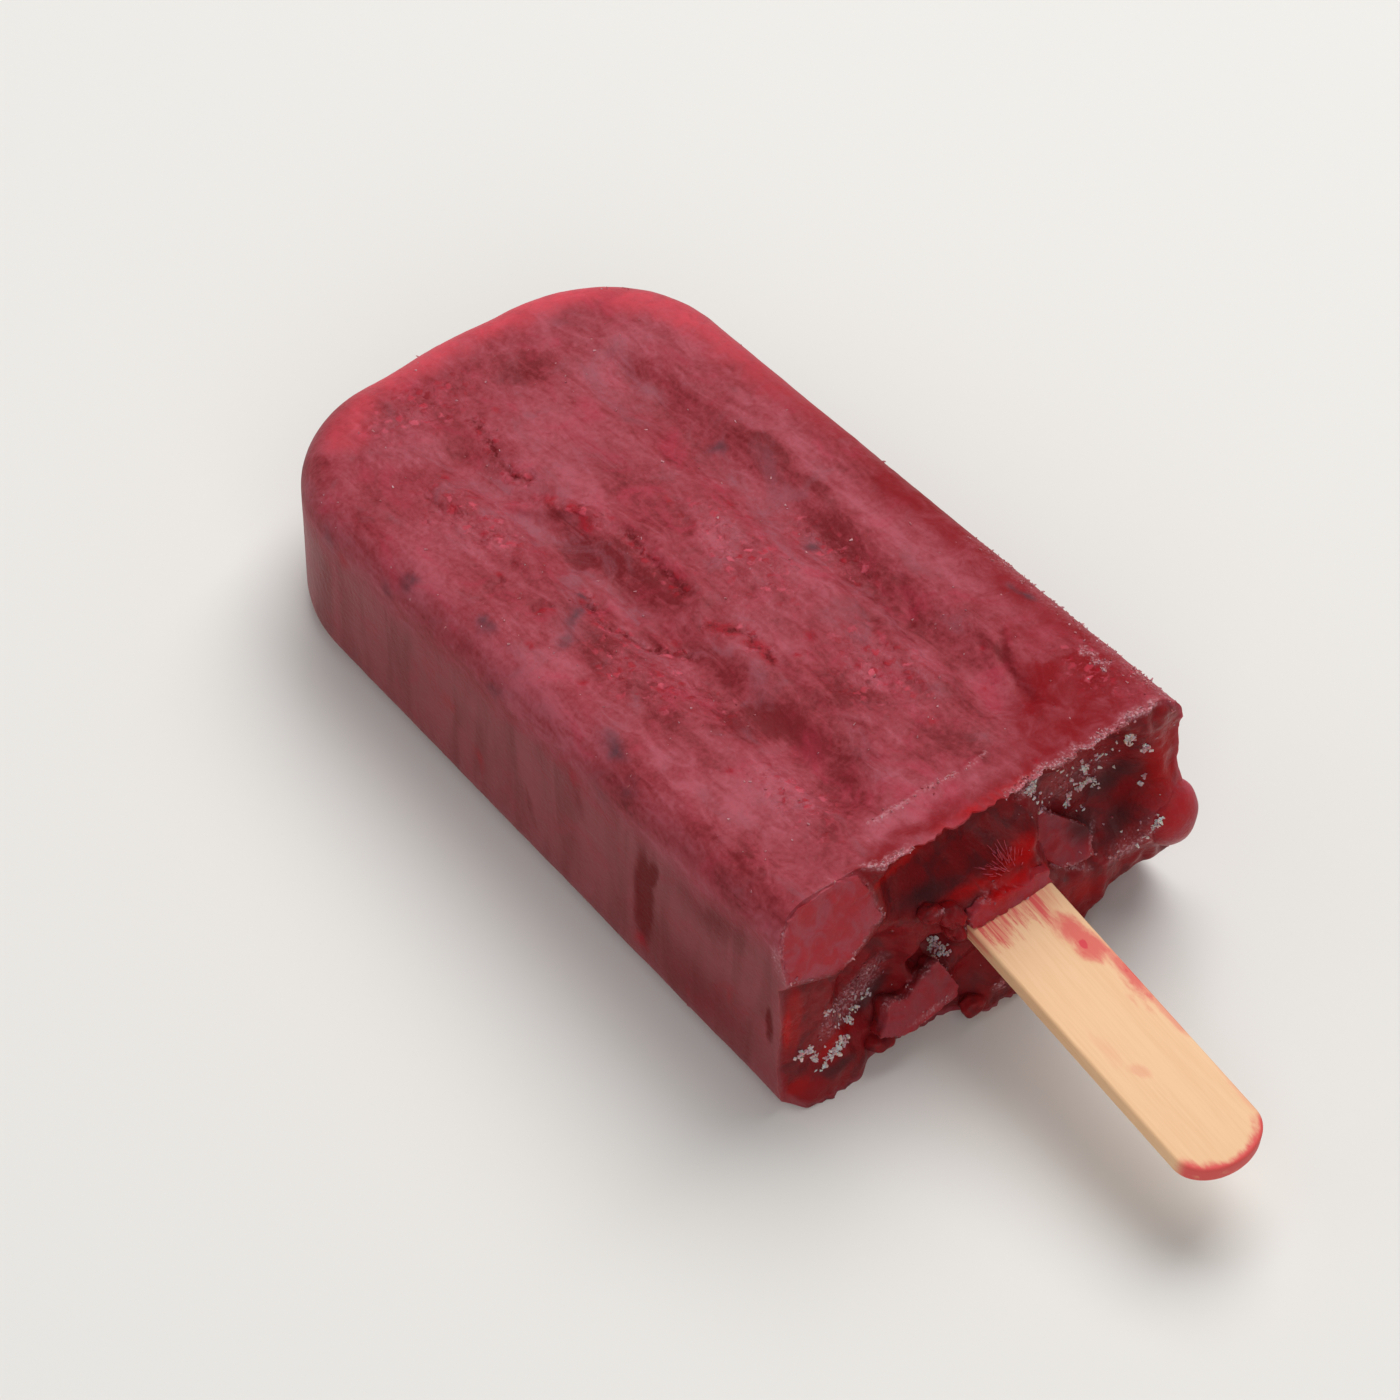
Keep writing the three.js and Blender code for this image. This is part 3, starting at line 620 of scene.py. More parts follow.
def block_surface(block, along, across, upright, edge, foot):
    """Points and quads of the block as its mould left it, with the break at the stick end."""
    side = block.length - block.tip_corner_radius + block.tip_corner_radius * math.pi / 4
    tip = block.tip_corner_radius * math.pi / 2 + 2 * block.tip_flat
    columns = np.concatenate((
        np.linspace(0, side, along + 1),
        np.linspace(side, side + tip, across + 1)[1:],
        np.linspace(side + tip, 2 * side + tip, along + 1)[1:],
    ))
    rows = (
        np.concatenate((np.linspace(0, 1, foot + 1), np.ones(upright + edge))),
        np.concatenate((np.zeros(foot + 1), np.linspace(0, 1, upright + 1)[1:], np.ones(edge))),
        np.concatenate((np.zeros(foot + upright + 1), np.linspace(0, 1, edge + 1)[1:])),
    )
    wall = block.wall(columns, rows)
    last = len(columns) - 1
    wall_index = np.arange(wall.shape[0] * wall.shape[1]).reshape(wall.shape[:2])
    points = [wall.reshape(-1, 3)]
    faces = [quads(wall_index)[:, ::-1]]
    used = wall_index.size

    def lid(row, height_at):
        nonlocal used
        left, right = wall[:along + 1, row], wall[last - along:, row][::-1]
        low = np.linspace(wall[0, row], wall[last, row], across + 1)
        grid = patch(low, wall[along:along + across + 1, row], left, right)
        grid[..., 2] = height_at(grid[..., 0], grid[..., 1])
        index = np.empty(grid.shape[:2], int)
        index[:-1, 1:-1] = used + np.arange(along * (across - 1)).reshape(along, across - 1)
        index[:, 0] = wall_index[:along + 1, row]
        index[:, -1] = wall_index[last - along:, row][::-1]
        index[-1] = wall_index[along:along + across + 1, row]
        points.append(grid[:-1, 1:-1].reshape(-1, 3))
        used += along * (across - 1)
        return index

    top = lid(-1, block.top_height)
    bottom = lid(0, block.flute_cut)
    faces += [quads(top)[:, ::-1], quads(bottom)]

    levels = wall.shape[1]
    low = np.linspace(wall[0, 0], wall[last, 0], across + 1)
    high = np.linspace(wall[0, -1], wall[last, -1], across + 1)
    grid = patch(low, high, wall[0], wall[last])
    index = np.empty(grid.shape[:2], int)
    index[1:-1, 1:-1] = used + np.arange((levels - 2) * (across - 1)).reshape(levels - 2, across - 1)
    index[:, 0], index[:, -1] = wall_index[0], wall_index[last]
    index[0], index[-1] = bottom[0], top[0]
    points.append(grid[1:-1, 1:-1].reshape(-1, 3))
    faces.append(quads(index)[:, ::-1])
    return block.break_end(np.concatenate(points)), np.concatenate(faces)


# Fine relief

def top_relief(x, y):
    """Height of the folds, cracks, pits and grain of the upper face."""
    places = np.stack((x, y), axis=-1)
    shaken_x = x + 0.9 * rough(places, 3.6, 2) + 0.25 * noise(places, 0.8, 8)
    shaken_y = y + 0.9 * rough(places, 3.6, 3) + 0.25 * noise(places, 0.8, 9)
    rough_here = ellipses(shaken_x, shaken_y, ROUGH_ZONES, 0.9)
    relief = 0.09 * rough(places, 7.0, 20) + 0.035 * rough(places, 1.6, 21)
    relief += rough_here * (0.15 * rough(places, 1.3, 22, 2) - 0.05 * np.abs(noise(places, 0.7, 24)))
    folds = distance_to_lines(shaken_x, shaken_y, FOLDS)
    relief += 0.48 * smooth_step(1 - folds / 1.9)
    uneven_x, uneven_y = (0.35 * noise(places, 0.9, seed) for seed in (4, 5))
    cracks = distance_to_lines(x + uneven_x, y + uneven_y, CRACKS)
    crumbled = 0.5 + 0.5 * noise(places, 0.9, 10)
    relief -= 0.26 * crumbled * smooth_step(1 - cracks / 0.42) + 0.14 * smooth_step(1 - cracks / 1.8)
    grooves = distance_to_lines(x, y + 0.2 * noise(places, 1.4, 6), GROOVES)
    relief -= 0.2 * smooth_step(1 - grooves / 0.8)
    scratches = distance_to_lines(x + 0.25 * noise(places, 2.0, 7), y, SCRATCHES)
    relief += 0.16 * smooth_step(1 - scratches / 0.5)
    for pit_x, pit_y, radius, depth in PITS:
        away = np.hypot(shaken_x - pit_x, shaken_y - pit_y)
        relief -= 0.6 * depth * smooth_step((1 - away / radius) / 0.8)
    relief -= 0.1 * bands(shaken_x, shaken_y, CLEAR_AND_SHADE_BANDS)
    return relief


def side_relief(x, z):
    """Height of the fine grain of a side, with its dark streaks sunk in."""
    places = np.stack((x, z * 0.4), axis=-1)
    return 0.04 * rough(places, 3.4, 30) - 0.09 * ellipses(x, z, SIDE_STREAKS) - 0.03


def on_face(y, normals):
    """How far across the marks of a broad face are: the lower face mirrors the upper one."""
    return np.where(normals[:, 2] < 0, FLUTES_MIRROR - y, y)


def on_side(x, y):
    """How far along the marks of a side are: the right side has those of the left one turned."""
    return np.where(y < 0, x, SIDES_TURN - x)


def relieved(block, points, normals):
    """The points moved along their normals by the fine relief of the face that they are on."""
    x, y, z = points.T
    up = smooth_step((np.abs(normals[:, 2]) - 0.45) / 0.4)
    aside = smooth_step((np.hypot(normals[:, 1], np.minimum(normals[:, 0], 0)) - 0.45) / 0.4)
    skin = smooth_step((block.half_length - x) / 1.5)
    amount = up * top_relief(x, on_face(y, normals)) + aside * side_relief(on_side(x, y), z)
    moved = points + normals * (amount * skin)[:, None]
    return np.clip(moved, BOX_LOW, BOX_HIGH)


# Meshes

def mesh_from(name, points, faces):
    """A mesh in metres from points in millimetres. Faces are lists of point numbers."""
    mesh = bpy.data.meshes.new(name)
    mesh.from_pydata((np.asarray(points) * MM).tolist(), [], faces)
    mesh.update()
    return mesh


def new_object(name, mesh):
    piece = bpy.data.objects.new(name, mesh)
    bpy.context.scene.collection.objects.link(piece)
    return piece


def places_of(mesh):
    points = np.empty(len(mesh.vertices) * 3)
    mesh.vertices.foreach_get("co", points)
    return points.reshape(-1, 3) / MM


def normals_of(mesh):
    normals = np.empty(len(mesh.vertices) * 3)
    mesh.vertex_normals.foreach_get("vector", normals)
    return normals.reshape(-1, 3)


def move_to(mesh, points):
    mesh.vertices.foreach_set("co", (points * MM).ravel())
    mesh.update()


def settle(piece):
    """Leaves the piece as the plain mesh that its modifiers make."""
    evaluated = piece.evaluated_get(bpy.context.evaluated_depsgraph_get())
    made = bpy.data.meshes.new_from_object(evaluated)
    piece.modifiers.clear()
    piece.data = made


def drop_strays(mesh):
    """Merges corners that coincide, and removes the few loose faces that joining and thinning leave."""
    shape = bmesh.new()
    shape.from_mesh(mesh)
    bmesh.ops.remove_doubles(shape, verts=shape.verts, dist=1e-5 * MM)
    unseen = set(shape.faces)
    strays = []
    while unseen:
        island = [unseen.pop()]
        for face in island:
            for edge in face.edges:
                if edge.is_manifold:
                    near = [other for other in edge.link_faces if other in unseen]
                    unseen.difference_update(near)
                    island += near
        if len(island) < FEWEST_FACES:
            strays += island
    bmesh.ops.delete(shape, geom=strays, context="FACES")
    shape.to_mesh(mesh)
    shape.free()


def remove(pieces):
    for piece in pieces:
        bpy.data.objects.remove(piece)


def keep_attribute(mesh, name, values):
    layer = mesh.attributes.new(name, "FLOAT", "POINT")
    layer.data.foreach_set("value", np.asarray(values, np.float32))


def finished(piece, node_name, material):
    """What every piece of the object gets at the end."""
    piece.data.materials.clear()
    piece.data.materials.append(material)
    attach(piece, "root")
    if node_name:
        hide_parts(node_name)


# Flakes

def flake_outline(corners, jagged, seed):
    """The outline of a flake with uneven jags along every edge."""
    outline = []
    for n, (start, end) in enumerate(zip(corners, corners[1:] + corners[:1])):
        start, end = np.array(start), np.array(end)
        steps = max(3, int(np.hypot(*(end - start)) / 0.5))
        for k in range(steps):
            shift = 0 if k == 0 else jagged * (2 * seeded_random(seed + 7 * n + k) - 1)
            outline.append(start + (end - start) * k / steps + shift * np.array((1, -1)))
    return np.array(outline)


def flake_placement(block, form):
    """Where a flake's own frame is: its X runs across, its Y up and its Z out of the break."""
    angle = math.radians(form.lean)
    across = Vector((0, 1, 0))
    up = Vector((-math.sin(angle), 0, math.cos(angle)))
    placement = Matrix((across, up, across.cross(up))).transposed().to_4x4()
    placement.translation = Vector((block.half_length + form.out, form.y, form.z))
    return np.array(placement)


def flake(block, form):
    """A thin flake of ice with a worn, slightly uneven surface."""
    outline = flake_outline(form.corners, form.jagged, form.seed)
    count = len(outline)
    front = np.column_stack((outline, np.zeros(count)))
    back = front - (0, 0, form.thickness)
    ring = np.arange(count)
    following = np.roll(ring, -1)
    sides = np.column_stack((ring + count, following + count, following, ring)).tolist()
    faces = [ring.tolist(), (ring[::-1] + count).tolist(), *sides]
    piece = new_object(form.name, mesh_from(form.name, np.concatenate((front, back)), faces))
    remesh = piece.modifiers.new("Remesh", "REMESH")
    remesh.mode, remesh.voxel_size = "VOXEL", FLAKE_CELL * MM
    smooth = piece.modifiers.new("Worn", "SMOOTH")
    smooth.iterations, smooth.factor = 2, 0.5
    settle(piece)
    points = places_of(piece.data)
    bumps = 0.24 * rough(points, 2.6, form.seed) + 0.09 * rough(points, 0.9, form.seed + 5, 2)
    points += normals_of(piece.data) * bumps[:, None]
    placement = flake_placement(block, form)
    points = points @ placement[:3, :3].T + placement[:3, 3]
    move_to(piece.data, points)
    return piece


def on_flake(block, points, form):
    """How deep points are inside the outline of a flake, and which of them are on its front."""
    placement = flake_placement(block, form)
    local = (points - placement[:3, 3]) @ placement[:3, :3]
    front = (local[:, 2] > -1.2) & (local[:, 2] < 0.9)
    return depth_inside(local[:, 0], local[:, 1], form.corners), front


def lump(block, name, y, z, out, halves, uneven):
    """A rounded lump of ice on the broken end."""
    shape = bmesh.new()
    bmesh.ops.create_icosphere(shape, subdivisions=5, radius=1)
    mesh = bpy.data.meshes.new(name)
    shape.to_mesh(mesh)
    shape.free()
    points = places_of(mesh) * MM
    swell = 1 + uneven * rough(points + y, 0.9, 3, 2)
    move_to(mesh, points * swell[:, None] * halves + (block.half_length + out, y, z))
    return new_object(name, mesh)


# Nodes

ICE_IOR = 1.31
EVEN = (1, 1, 1)

# Cloudy patterns: how each is stretched, its size, detail, distortion and roughness
PUREE_PATTERNS = (
    ((0.6, 1, 1), 8, 4, 0.4, 0.55),
    ((0.3, 1, 1), 1.8, 6, 1.4, 0.6),
    ((0.7, 1, 1), 5.2, 5, 0.9, 0.62),
    (EVEN, 2.6, 5, 0.8, 0.62),
    (EVEN, 0.9, 4, 1.2, 0.7),
    (EVEN, 0.6, 3, 0, 0.5),
    (EVEN, 0.3, 2, 0, 0.5),
    ((1, 1, 0.16), 3.0, 3, 0.7, 0.5),
)
BIRCH_PATTERNS = (
    ((0.05, 1, 1), 0.22, 3, 0.2, 0.5),
    ((0.05, 1, 1), 2.2, 2, 0.4, 0.5),
    ((0.12, 1, 1), 2.4, 7, 0.3, 0.75),
    ((0.04, 1, 1), 0.45, 3, 0.2, 0.6),
    ((0.4, 1, 1), 1.6, 4, 0.3, 0.6),
)

# What the material of the block reads from its mesh
MARKS = (
    "bare", "broken", "clear", "crack", "deep", "flake", "frost", "fruit", "glow", "haze", "mist",
    "pulp", "rough", "side", "skin", "smoke",
)


def add(tree, kind, inputs=None, **settings):
    """Adds a node with its settings. An input is given a value, or linked to a socket."""
    node = tree.nodes.new(kind)
    for name, value in settings.items():
        setattr(node, name, value)
    for key, value in (inputs or {}).items():
        socket = node.inputs[key]
        if isinstance(value, bpy.types.NodeSocket):
            tree.links.new(value, socket)
        elif socket.type == "RGBA" and len(value) == 3:
            socket.default_value = (*value, 1)
        else:
            socket.default_value = value
    return node


def per(millimetres):
    """Scale of a pattern in object coordinates whose features are that large."""
    return 1 / (millimetres * MM)


def cloudy(tree, place, patterns):
    """Cloudy patterns: each has a stretch, a size, a detail, a distortion and a roughness."""
    made = []
    for stretch, size, detail, distortion, roughness in patterns:
        stretched = add(tree, "ShaderNodeMapping", {"Vector": place, "Scale": stretch}).outputs[0]
        pattern = add(tree, "ShaderNodeTexNoise", {
            "Vector": stretched, "Scale": per(size), "Detail": detail, "Distortion": distortion,
            "Roughness": roughness,
        })
        made.append(pattern.outputs["Fac"])
    return made


def total(tree, *terms):
    """A sum of values, each times its weight."""
    result = 0.0
    for value, weight in terms:
        inputs = {0: value, 1: weight, 2: result}
        result = add(tree, "ShaderNodeMath", inputs, operation="MULTIPLY_ADD").outputs[0]
    return result


def highest(tree, first, *others):
    """The highest of several values."""
    for other in others:
        first = add(tree, "ShaderNodeMath", {0: first, 1: other}, operation="MAXIMUM").outputs[0]
    return first


def mask(tree, value, low, high, least=0.0, most=1.0, gate=None):
    """From least to most while a value goes from low to high, times the gate where one is given."""
    inputs = {"Value": value, "From Min": low, "From Max": high, "To Min": least, "To Max": most}
    eased = add(tree, "ShaderNodeMapRange", inputs, interpolation_type="SMOOTHSTEP").outputs[0]
    return eased if gate is None else total(tree, (eased, gate))


def painted(tree, colour, *layers):
    """A colour with others laid over it in turn, each as far as its share."""
    for tone, share in layers:
        inputs = {0: share, 6: colour, 7: tone}
        colour = add(tree, "ShaderNodeMix", inputs, data_type="RGBA").outputs[2]
    return colour


def new_material(name):
    material = bpy.data.materials.new(name)
    material.use_nodes = True
    tree = material.node_tree
    tree.nodes.clear()
    shader = add(tree, "ShaderNodeBsdfPrincipled")
    add(tree, "ShaderNodeOutputMaterial", {"Surface": shader.outputs["BSDF"]})
    return material, tree, shader


def make_icy(shader, weight, depth):
    """Ice bends light little, and spreads it to that depth, so that thin bits glow."""
    shader.inputs["IOR"].default_value = ICE_IOR
    shader.inputs["Subsurface Weight"].default_value = weight
    shader.inputs["Subsurface Scale"].default_value = depth * MM


def raise_by(tree, shader, height, strength, depth):
    """Fine relief of a surface by a height from 0 to about 1."""
    inputs = {"Height": height, "Strength": strength, "Distance": depth * MM}
    tree.links.new(add(tree, "ShaderNodeBump", inputs).outputs[0], shader.inputs["Normal"])


def frozen_puree(looks):
    """Frozen fruit puree: matt and hazy where frost covers it, dark and wet where it is broken."""
    material, tree, shader = new_material("frozen_berry_puree")
    place = add(tree, "ShaderNodeTexCoord").outputs["Object"]
    along = add(tree, "ShaderNodeSeparateXYZ", {0: place}).outputs["X"]
    cloud, brush, ripeness, medium, crumbly, fine, grit, streaks = cloudy(tree, place, PUREE_PATTERNS)
    marks = {}
    for name in MARKS:
        marks[name] = add(tree, "ShaderNodeAttribute", attribute_name=name).outputs["Fac"]

    # Frost haze, raised by painted light in the haze patches and lowered by painted shade in the clear
    # bands
    haze_and_painted_shading = total(tree, (cloud, 0.9), (brush, 0.75), (medium, 0.35), (fine, 0.42),
                     (marks["haze"], 0.17), (marks["clear"], -0.30), (1.0, -0.71))
    bare = mask(tree, medium, 0.36, 0.66, 1.0, 0.6, marks["bare"])
    near_crack = mask(tree, marks["crack"], 1.3, 0.2)
    granular = highest(tree, marks["rough"], near_crack)
    chance, dot = granules(tree, place, granular)
    pulp_chance = total(tree, (chance[0], 1.0), (near_crack, 0.3))
    porous = mask(tree, total(tree, (granular, 0.6), (cloud, 0.8)), 0.35, 0.8, 0.3, 1.0)
    from_crack = total(tree, (marks["crack"], 1.0), (fine, 1.4), (medium, 1.6), (1.0, -1.45))
    glow = mask(tree, fine, 0.3, 0.6, 0.8, 1.0, marks["glow"])
    frosty = mask(tree, mask(tree, grit, 0.48, 0.62), 0, 1, 0.2, 0.85, marks["frost"])

    # Painted light: brighter red edges towards the tip, bare ice towards the stick
    bare_edge_and_lit_tip = painted(tree, looks.lit_ice, (looks.bare_ice, mask(tree, along, -36 * MM, 4 * MM)))
    # The lower sides: duller wet ice, painted darker also as shade
    shaded_dull_side = painted(
        tree, looks.deep_ice,
        (looks.side_ice_and_shade, mask(tree, streaks, 0.32, 0.60, 0.55, 1.0)),
        (looks.puree, mask(tree, ripeness, 0.50, 0.68, 0, 0.6)),
    )
    smoky = mask(tree, medium, 0.42, 0.68, 0, 0.6)
    hazy_break = painted(tree, looks.broken_ice, (looks.smoky_ice, smoky))
    flake_ice = painted(
        tree, looks.flake_ice,
        (looks.frosted, mask(tree, medium, 0.38, 0.62, 0, 0.75)),
        (looks.puree, mask(tree, crumbly, 0.55, 0.72, 0, 0.4)),
    )
    colour = painted(
        tree, looks.puree,
        (looks.frosted, mask(tree, haze_and_painted_shading, 0.38, 0.82)),
        (looks.clear_ice_and_shade, mask(tree, haze_and_painted_shading, 0.48, 0.14)),
        (looks.mist, mask(tree, ripeness, 0.47, 0.28, 0, 0.5)),
        (looks.ripe_ice, mask(tree, ripeness, 0.52, 0.70, 0, 0.38)),
        (looks.mist, mask(tree, brush, 0.40, 0.64, 0.1, 0.72, marks["mist"])),
        (bare_edge_and_lit_tip, bare),
        (looks.clear_ice_and_shade, mask(tree, crumbly, 0.55, 0.72, 0, 0.55, porous)),
        (looks.pink_grain, mask(tree, crumbly, 0.44, 0.30, 0, 0.4, granular)),
        (looks.pink_grain, mask(tree, chance[1], 0.68, 0.80, 0, 0.75, dot)),
        (looks.berry_pulp, mask(tree, pulp_chance, 0.46, 0.70, 0, 0.72, dot)),
        (looks.clear_ice_and_shade, mask(tree, chance[2], 0.86, 0.92, 0, 0.6, dot)),
        (looks.berry_pulp, mask(tree, fine, 0.35, 0.55, 0.4, 1.0, marks["pulp"])),
        (looks.berry_skin, mask(tree, medium, 0.35, 0.6, 0.41, 0.82, marks["skin"])),
        (looks.clear_ice_and_shade, mask(tree, from_crack, 0.7, 0.1, 0, 0.5)),
        (looks.crack, mask(tree, from_crack, 0.2, 0, 0, 0.8)),
        (shaded_dull_side, mask(tree, streaks, 0.35, 0.62, 1.0, 0.8, marks["side"])),
        (looks.deep_ice, total(tree, (marks["deep"], 0.9))),
        (looks.berry_pulp, marks["fruit"]),
        (hazy_break, marks["broken"]),
        (flake_ice, marks["flake"]),
        (looks.smoky_ice, marks["smoke"]),
        (looks.thin_ice, glow),
        (looks.frost, frosty),
    )
    tree.links.new(colour, shader.inputs["Base Color"])

    wet = highest(tree, marks["broken"], glow, total(tree, (marks["side"], 0.6)))
    roughness = total(tree, (mask(tree, wet, 0, 1, 0.46, 0.24), 1.0), (frosty, 0.35), (fine, 0.12))
    tree.links.new(roughness, shader.inputs["Roughness"])
    shine = total(tree, (mask(tree, wet, 0, 1, 0.24, 0.22), 1.0), (marks["side"], -0.06), (bare, -0.14),
                  (marks["deep"], -0.1))
    tree.links.new(shine, shader.inputs["Specular IOR Level"])
    relief = total(tree, (fine, 0.4), (medium, 0.4), (brush, 0.35), (dot, 0.5), (crumbly, -0.3))
    raise_by(tree, shader, relief, strength=0.6, depth=0.3)
    make_icy(shader, weight=0.3, depth=1.4)
    shader.inputs["Subsurface Radius"].default_value = (1.0, 0.3, 0.25)
    return material


def granules(tree, place, granular):
    """Grains about a millimetre large where the ice is granular: three numbers of each, and its dot."""
    shift = add(tree, "ShaderNodeTexNoise", {"Vector": place, "Scale": per(0.8)}).outputs["Color"]
    inputs = {0: shift, 1: (1.3 * MM,) * 3, 2: place}
    shifted = add(tree, "ShaderNodeVectorMath", inputs, operation="MULTIPLY_ADD").outputs[0]
    grain = add(tree, "ShaderNodeTexVoronoi", {"Vector": shifted, "Scale": per(1.0)}).outputs
    chance = add(tree, "ShaderNodeSeparateColor", {0: grain["Color"]}).outputs
    return chance, mask(tree, grain["Distance"], 0.56, 0.2, gate=granular)


def bits_of_ice(name, first, second, size, detail, contrast, roughness, weight, depth):
    """Small bits of ice in two tones, clouded in patches of that size."""
    material, tree, shader = new_material(name)
    place = add(tree, "ShaderNodeTexCoord").outputs["Object"]
    [cloud] = cloudy(tree, place, [(EVEN, size, detail, 0, 0.5)])
    share = mask(tree, cloud, 0.5 - contrast, 0.5 + contrast)
    tree.links.new(painted(tree, first, (second, share)), shader.inputs["Base Color"])
    shader.inputs["Roughness"].default_value = roughness
    make_icy(shader, weight, depth)
    return material


def hoar_frost(looks):
    """Hoar frost: loose white grains of ice, tinted by the red ice under them."""
    return bits_of_ice(
        "hoar_frost_grains", looks.frost, looks.puree,
        size=2.5, detail=2, contrast=0.2, roughness=0.45, weight=0.4, depth=0.6,
    )


def water_ice(looks):
    """Water ice: crumbs full of fine bubbles, which make them grey-white."""
    return bits_of_ice(
        "bubbly_water_ice", looks.ice_bits, looks.frost,
        size=0.9, detail=3, contrast=0.15, roughness=0.35, weight=0.5, depth=0.8,
    )


def clear_red_ice(looks):
    """Clear red ice: fine wet needles that the light shines through."""
    return bits_of_ice(
        "clear_red_ice_needles", looks.lit_ice, looks.pink_grain,
        size=1.2, detail=2, contrast=0.15, roughness=0.25, weight=0.6, depth=0.6,
    )


def spot(tree, place, x, y, half_x, half_y, turn=0):
    """Distance from the middle of an ellipse in the plane of the stick: 1 on the ellipse."""
    local = add(tree, "ShaderNodeMapping", {
        "Vector": place, "Location": (x * MM, y * MM, 0), "Rotation": (0, 0, math.radians(turn)),
        "Scale": (half_x * MM, half_y * MM, 1),
    }, vector_type="TEXTURE").outputs[0]
    return add(tree, "ShaderNodeVectorMath", {0: local}, operation="LENGTH").outputs["Value"]


def sanded_birch(looks, placement, block):
    """Sanded birch: pale, nearly matt wood with fine grain, stained by juice at both ends."""
    material, tree, shader = new_material("sanded_birch")
    place = add(tree, "ShaderNodeTexCoord").outputs["Object"]
    turned = add(tree, "ShaderNodeMapping", {
        "Vector": place, "Location": placement.translation, "Rotation": placement.to_euler(),
    }, vector_type="TEXTURE").outputs[0]
    lines, broad, fibres, threads, uneven = cloudy(tree, turned, BIRCH_PATTERNS)
    grain = mask(tree, total(tree, (lines, 0.55), (broad, 0.45)), 0.40, 0.68)

    reach = add(tree, "ShaderNodeSeparateXYZ", {0: turned}).outputs["X"]
    soaked_to = mask(tree, fibres, 0.36, 0.70, 1.8 * MM, 9.0 * MM)
    soaked = total(tree, (soaked_to, 1.0), (reach, -1.0))
    bleed = mask(tree, soaked, -1.2 * MM, 2.2 * MM, 0, 0.9, mask(tree, threads, 0.36, 0.60, 0.3, 1.0))
    stains = [mask(tree, spot(tree, turned, 3, -1.0, 9, 6.4), 1, 0.5, gate=bleed)]
    for x, y, half_x, half_y, turn, strength in STAINS:
        middle = spot(tree, turned, x, y, half_x, half_y, turn)
        away = total(tree, (middle, 1.0), (uneven, 2.2), (1.0, -1.1))
        stains.append(mask(tree, away, 1.05, 0.25, 0, strength))
    end_x = block.stick_reach - block.stick_end_depth
    end_edge = spot(tree, turned, end_x, 0, block.stick_end_depth, block.stick_width / 2)
    end_edge = total(tree, (end_edge, 1.0), (uneven, 0.6), (1.0, -0.24))
    at_end = mask(tree, reach, (end_x - 0.2) * MM, (end_x + 1.4) * MM)
    stains.append(mask(tree, end_edge, 0.80, 1.02, 0, 0.9, at_end))
    colour = painted(tree, looks.birch, (looks.grain, grain), (looks.stain, highest(tree, *stains)))
    tree.links.new(colour, shader.inputs["Base Color"])
    shader.inputs["Roughness"].default_value = 0.62
    raise_by(tree, shader, lines, strength=0.25, depth=0.06)
    return material


def floor_paint():
    """Plain matt paint for the floor."""
    material, _, shader = new_material("matt_floor_paint")
    shader.inputs["Base Color"].default_value = (*linear("#DCDAD6"), 1)
    shader.inputs["Roughness"].default_value = 0.85
    return material


# Operators

def looks_of(context):
    return context.scene.ice_pop_looks


def sizes_of(context):
    return context.scene.ice_pop_sizes


